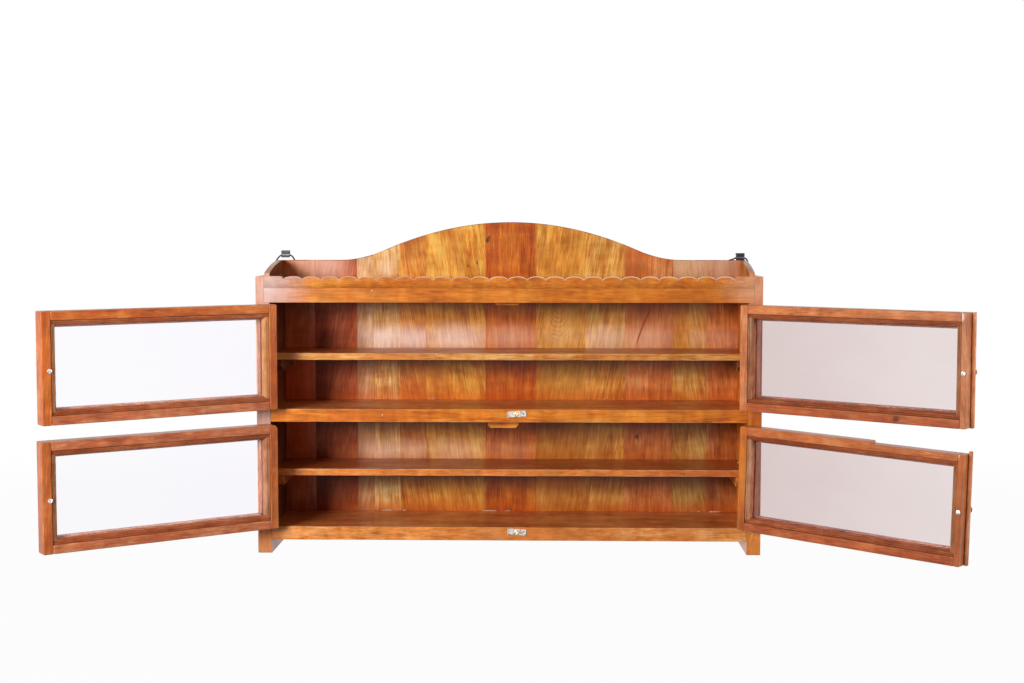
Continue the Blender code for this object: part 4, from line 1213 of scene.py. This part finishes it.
def makeHanger(side, plan):
    node, plate = side + "_hanger_ring", side + "_hanger_plate"
    pin = jointOf(node)["pos_m"]
    place = Matrix.Translation(pin)
    wire, high, foot = plan["ring"]
    halfWide, tall, deep = plan["saddle"]
    aside, sunk = plan["lean"][side]
    top = high + wire / 2 + sunk
    waist = top - tall * 0.62
    half = [(foot - 0.003, 0), (foot, 0.0015), (foot - 0.0018, 0.0075)]
    right, left = list(half), [(-x, z) for x, z in half]
    for path, hand in ((right, 1), (left, -1)):
        path.append((aside + hand * (halfWide + 0.0046), waist - 0.0036))
        path.append((aside + hand * (halfWide - 0.001), waist))
    ring = wireLoop(cutCorners(right + left[::-1], 2), wire)
    grip = barMesh(deep, top - tall, top, aside - halfWide, aside + halfWide)
    joinInto(ring, easeEdges(grip, 0.0012, 3))
    addPiece(side + "_hanger_wire", ring, node, finishes["black"], node, matrix=place)
    outer = halfWide + 0.0003
    fold = barMesh(deep + 0.0004, waist - 0.0009, waist + 0.0011, aside - outer, aside + outer)
    easeEdges(fold, 0.0004, 2)
    addPiece(side + "_hanger_fold", fold, node, finishes["grey"], node, matrix=place)
    strap = easeEdges(nodeMesh(plate), plan["strapEase"], 2, 30.0)
    addPiece(side + "_hanger_strap", strap, "carcase", finishes["black"], plate)
    for k, drop in enumerate(plan["strapScrews"]):
        spot = (pin[0], pin[1] - 0.0017, pin[2] + drop)
        head = slottedHead(spot, *plan["strapScrew"], 0.5 + k, 1)
        addPiece(side + "_strap_screw_%d" % (k + 1), head, "carcase", finishes["zinc"])


makeHinges(fittingPlan)
for level in ("upper", "lower"):
    makeButton(level, fittingPlan)
for side in ("left", "right"):
    makeHanger(side, fittingPlan)
print("fittings set")


# bits of dried glue in the corners

gluePlan = {
    # place, length along x, height
    "bits": (
        ((-0.237, -0.0135, -0.2030), 0.022, 0.0022), ((-0.205, -0.0135, -0.2030), 0.010, 0.0018),
        ((-0.040, -0.0135, -0.2030), 0.030, 0.0020), ((-0.005, -0.0135, -0.2030), 0.012, 0.0016),
        ((0.361, -0.0135, -0.2030), 0.006, 0.0022), ((0.392, -0.0135, -0.2030), 0.026, 0.0022),
        ((0.4300, -0.075, 0.1120), 0.004, 0.0030), ((0.4300, -0.060, -0.1015), 0.004, 0.0030),
        ((-0.4300, -0.070, 0.0126), 0.005, 0.0022), ((-0.150, -0.0135, 0.0125), 0.012, 0.0014),
        ((0.180, -0.0135, 0.0125), 0.010, 0.0014),
    ),
    "deep": 0.0014,     # half depth of a bit
}


def makeGlue(plan):
    bm = bmesh.new()
    for k, (spot, length, height) in enumerate(plan["bits"]):
        made = bmesh.ops.create_icosphere(bm, subdivisions=3, radius=1.0)
        for vert in made["verts"]:
            rough = 1.0 + 0.45 * noise.noise(vert.co * 1.8 + Vector((k * 3.1, 0, 0)))
            crumb = 1.0 + 0.6 * noise.noise(Vector((vert.co.x * 4.0 + k * 5.0, 1.0, 2.0)))
            x, y, z = vert.co
            form = Vector((x * length / 2, y * plan["deep"] * crumb, z * height / 2 * crumb)) * rough
            vert.co = Vector(spot) + form
    addPiece("dried_glue_bits", bm, "carcase", finishes["glue"])


makeGlue(gluePlan)
print("glue set")


# white paper floor, white room and soft lamps

studioPlan = {
    "floorLevel": -0.25335,
    "floorColour": ("#747474", "#7C7C7C"),
    "floorGlow": (0.97, 1.0),       # share of plain white near the cabinet and far away
    "glowReach": (0.9, 1.7),
    "worldLight": 0.02,
    # name: place, aim, width, height, watts
    "lamps": {
        "keyLamp": ((-1.64, -2.60, 0.64), (-0.05, -0.1, 0.10), 1.05, 0.80, 106.0),
        "sideLamp": ((3.3, -0.95, 0.65), (-0.3, -0.25, 0.02), 1.0, 1.0, 68.0),
        "backLamp": ((-0.05, 1.6, 0.0), (-0.05, 0.0, 0.0), 1.2, 0.4, 26.0),      # hidden by the cabinet
    },
}


def whiteRays(tree):
    # 1 for the rays that should see plain white
    path = put(tree, "LightPath")
    seen = calc(tree, "MAXIMUM", path.outputs["Is Camera Ray"], path.outputs["Is Glossy Ray"])
    return calc(tree, "MAXIMUM", seen, path.outputs["Is Transmission Ray"])


def makeStudio(plan):
    bm = bmesh.new()
    bmesh.ops.create_grid(bm, x_segments=8, y_segments=8, size=9.0)
    mesh = bpy.data.meshes.new("studioFloor")
    bm.to_mesh(mesh)
    bm.free()
    floor = bpy.data.objects.new("studioFloor", mesh)
    floor.location = (0, 0, plan["floorLevel"])
    scene.collection.objects.link(floor)
    paper, tree, shader = newFinish("floorPaper")
    spot = put(tree, "TexCoord").outputs["Object"]
    mottle = speckle(tree, spot, (3, 3, 3))
    feed(tree, shader.inputs["Base Color"], blend(tree, mottle, *map(srgb, plan["floorColour"])))
    shader.inputs["Roughness"].default_value = 0.9
    shader.inputs["Specular IOR Level"].default_value = 0.1
    glow = put(tree, "Emission")
    away = along(tree, "ADD", spot, (0, 0.2, 0))        # from the middle of the cabinet
    reach = along(tree, "LENGTH", along(tree, "MULTIPLY", away, (0.75, 1.0, 1.0)))
    share = spread(tree, reach, *plan["glowReach"], *plan["floorGlow"])
    mix = put(tree, "MixShader")
    feed(tree, mix.inputs[0], times(tree, whiteRays(tree), share))
    feed(tree, mix.inputs[1], shader.outputs[0])
    feed(tree, mix.inputs[2], glow.outputs[0])
    feed(tree, tree.nodes["Material Output"].inputs["Surface"], mix.outputs[0])
    mesh.materials.append(paper)

    world = bpy.data.worlds.new("studioWorld")
    scene.world = world
    world.use_nodes = True
    tree = world.node_tree
    sky = tree.nodes["Background"]
    sky.inputs["Color"].default_value = (1, 1, 1, 1)
    level = plan["worldLight"]
    feed(tree, sky.inputs["Strength"], calc(tree, "ADD", times(tree, whiteRays(tree), 1 - level), level))

    for name, (place, aim, wide, high, watts) in plan["lamps"].items():
        lamp = bpy.data.lights.new(name, "AREA")
        lamp.shape = "RECTANGLE"
        lamp.size, lamp.size_y, lamp.energy = wide, high, watts
        shown = bpy.data.objects.new(name, lamp)
        shown.location = place
        shown.visible_camera = shown.visible_transmission = False
        shown.rotation_euler = (Vector(aim) - Vector(place)).to_track_quat("-Z", "Y").to_euler()
        scene.collection.objects.link(shown)


makeStudio(studioPlan)
print("studio set")
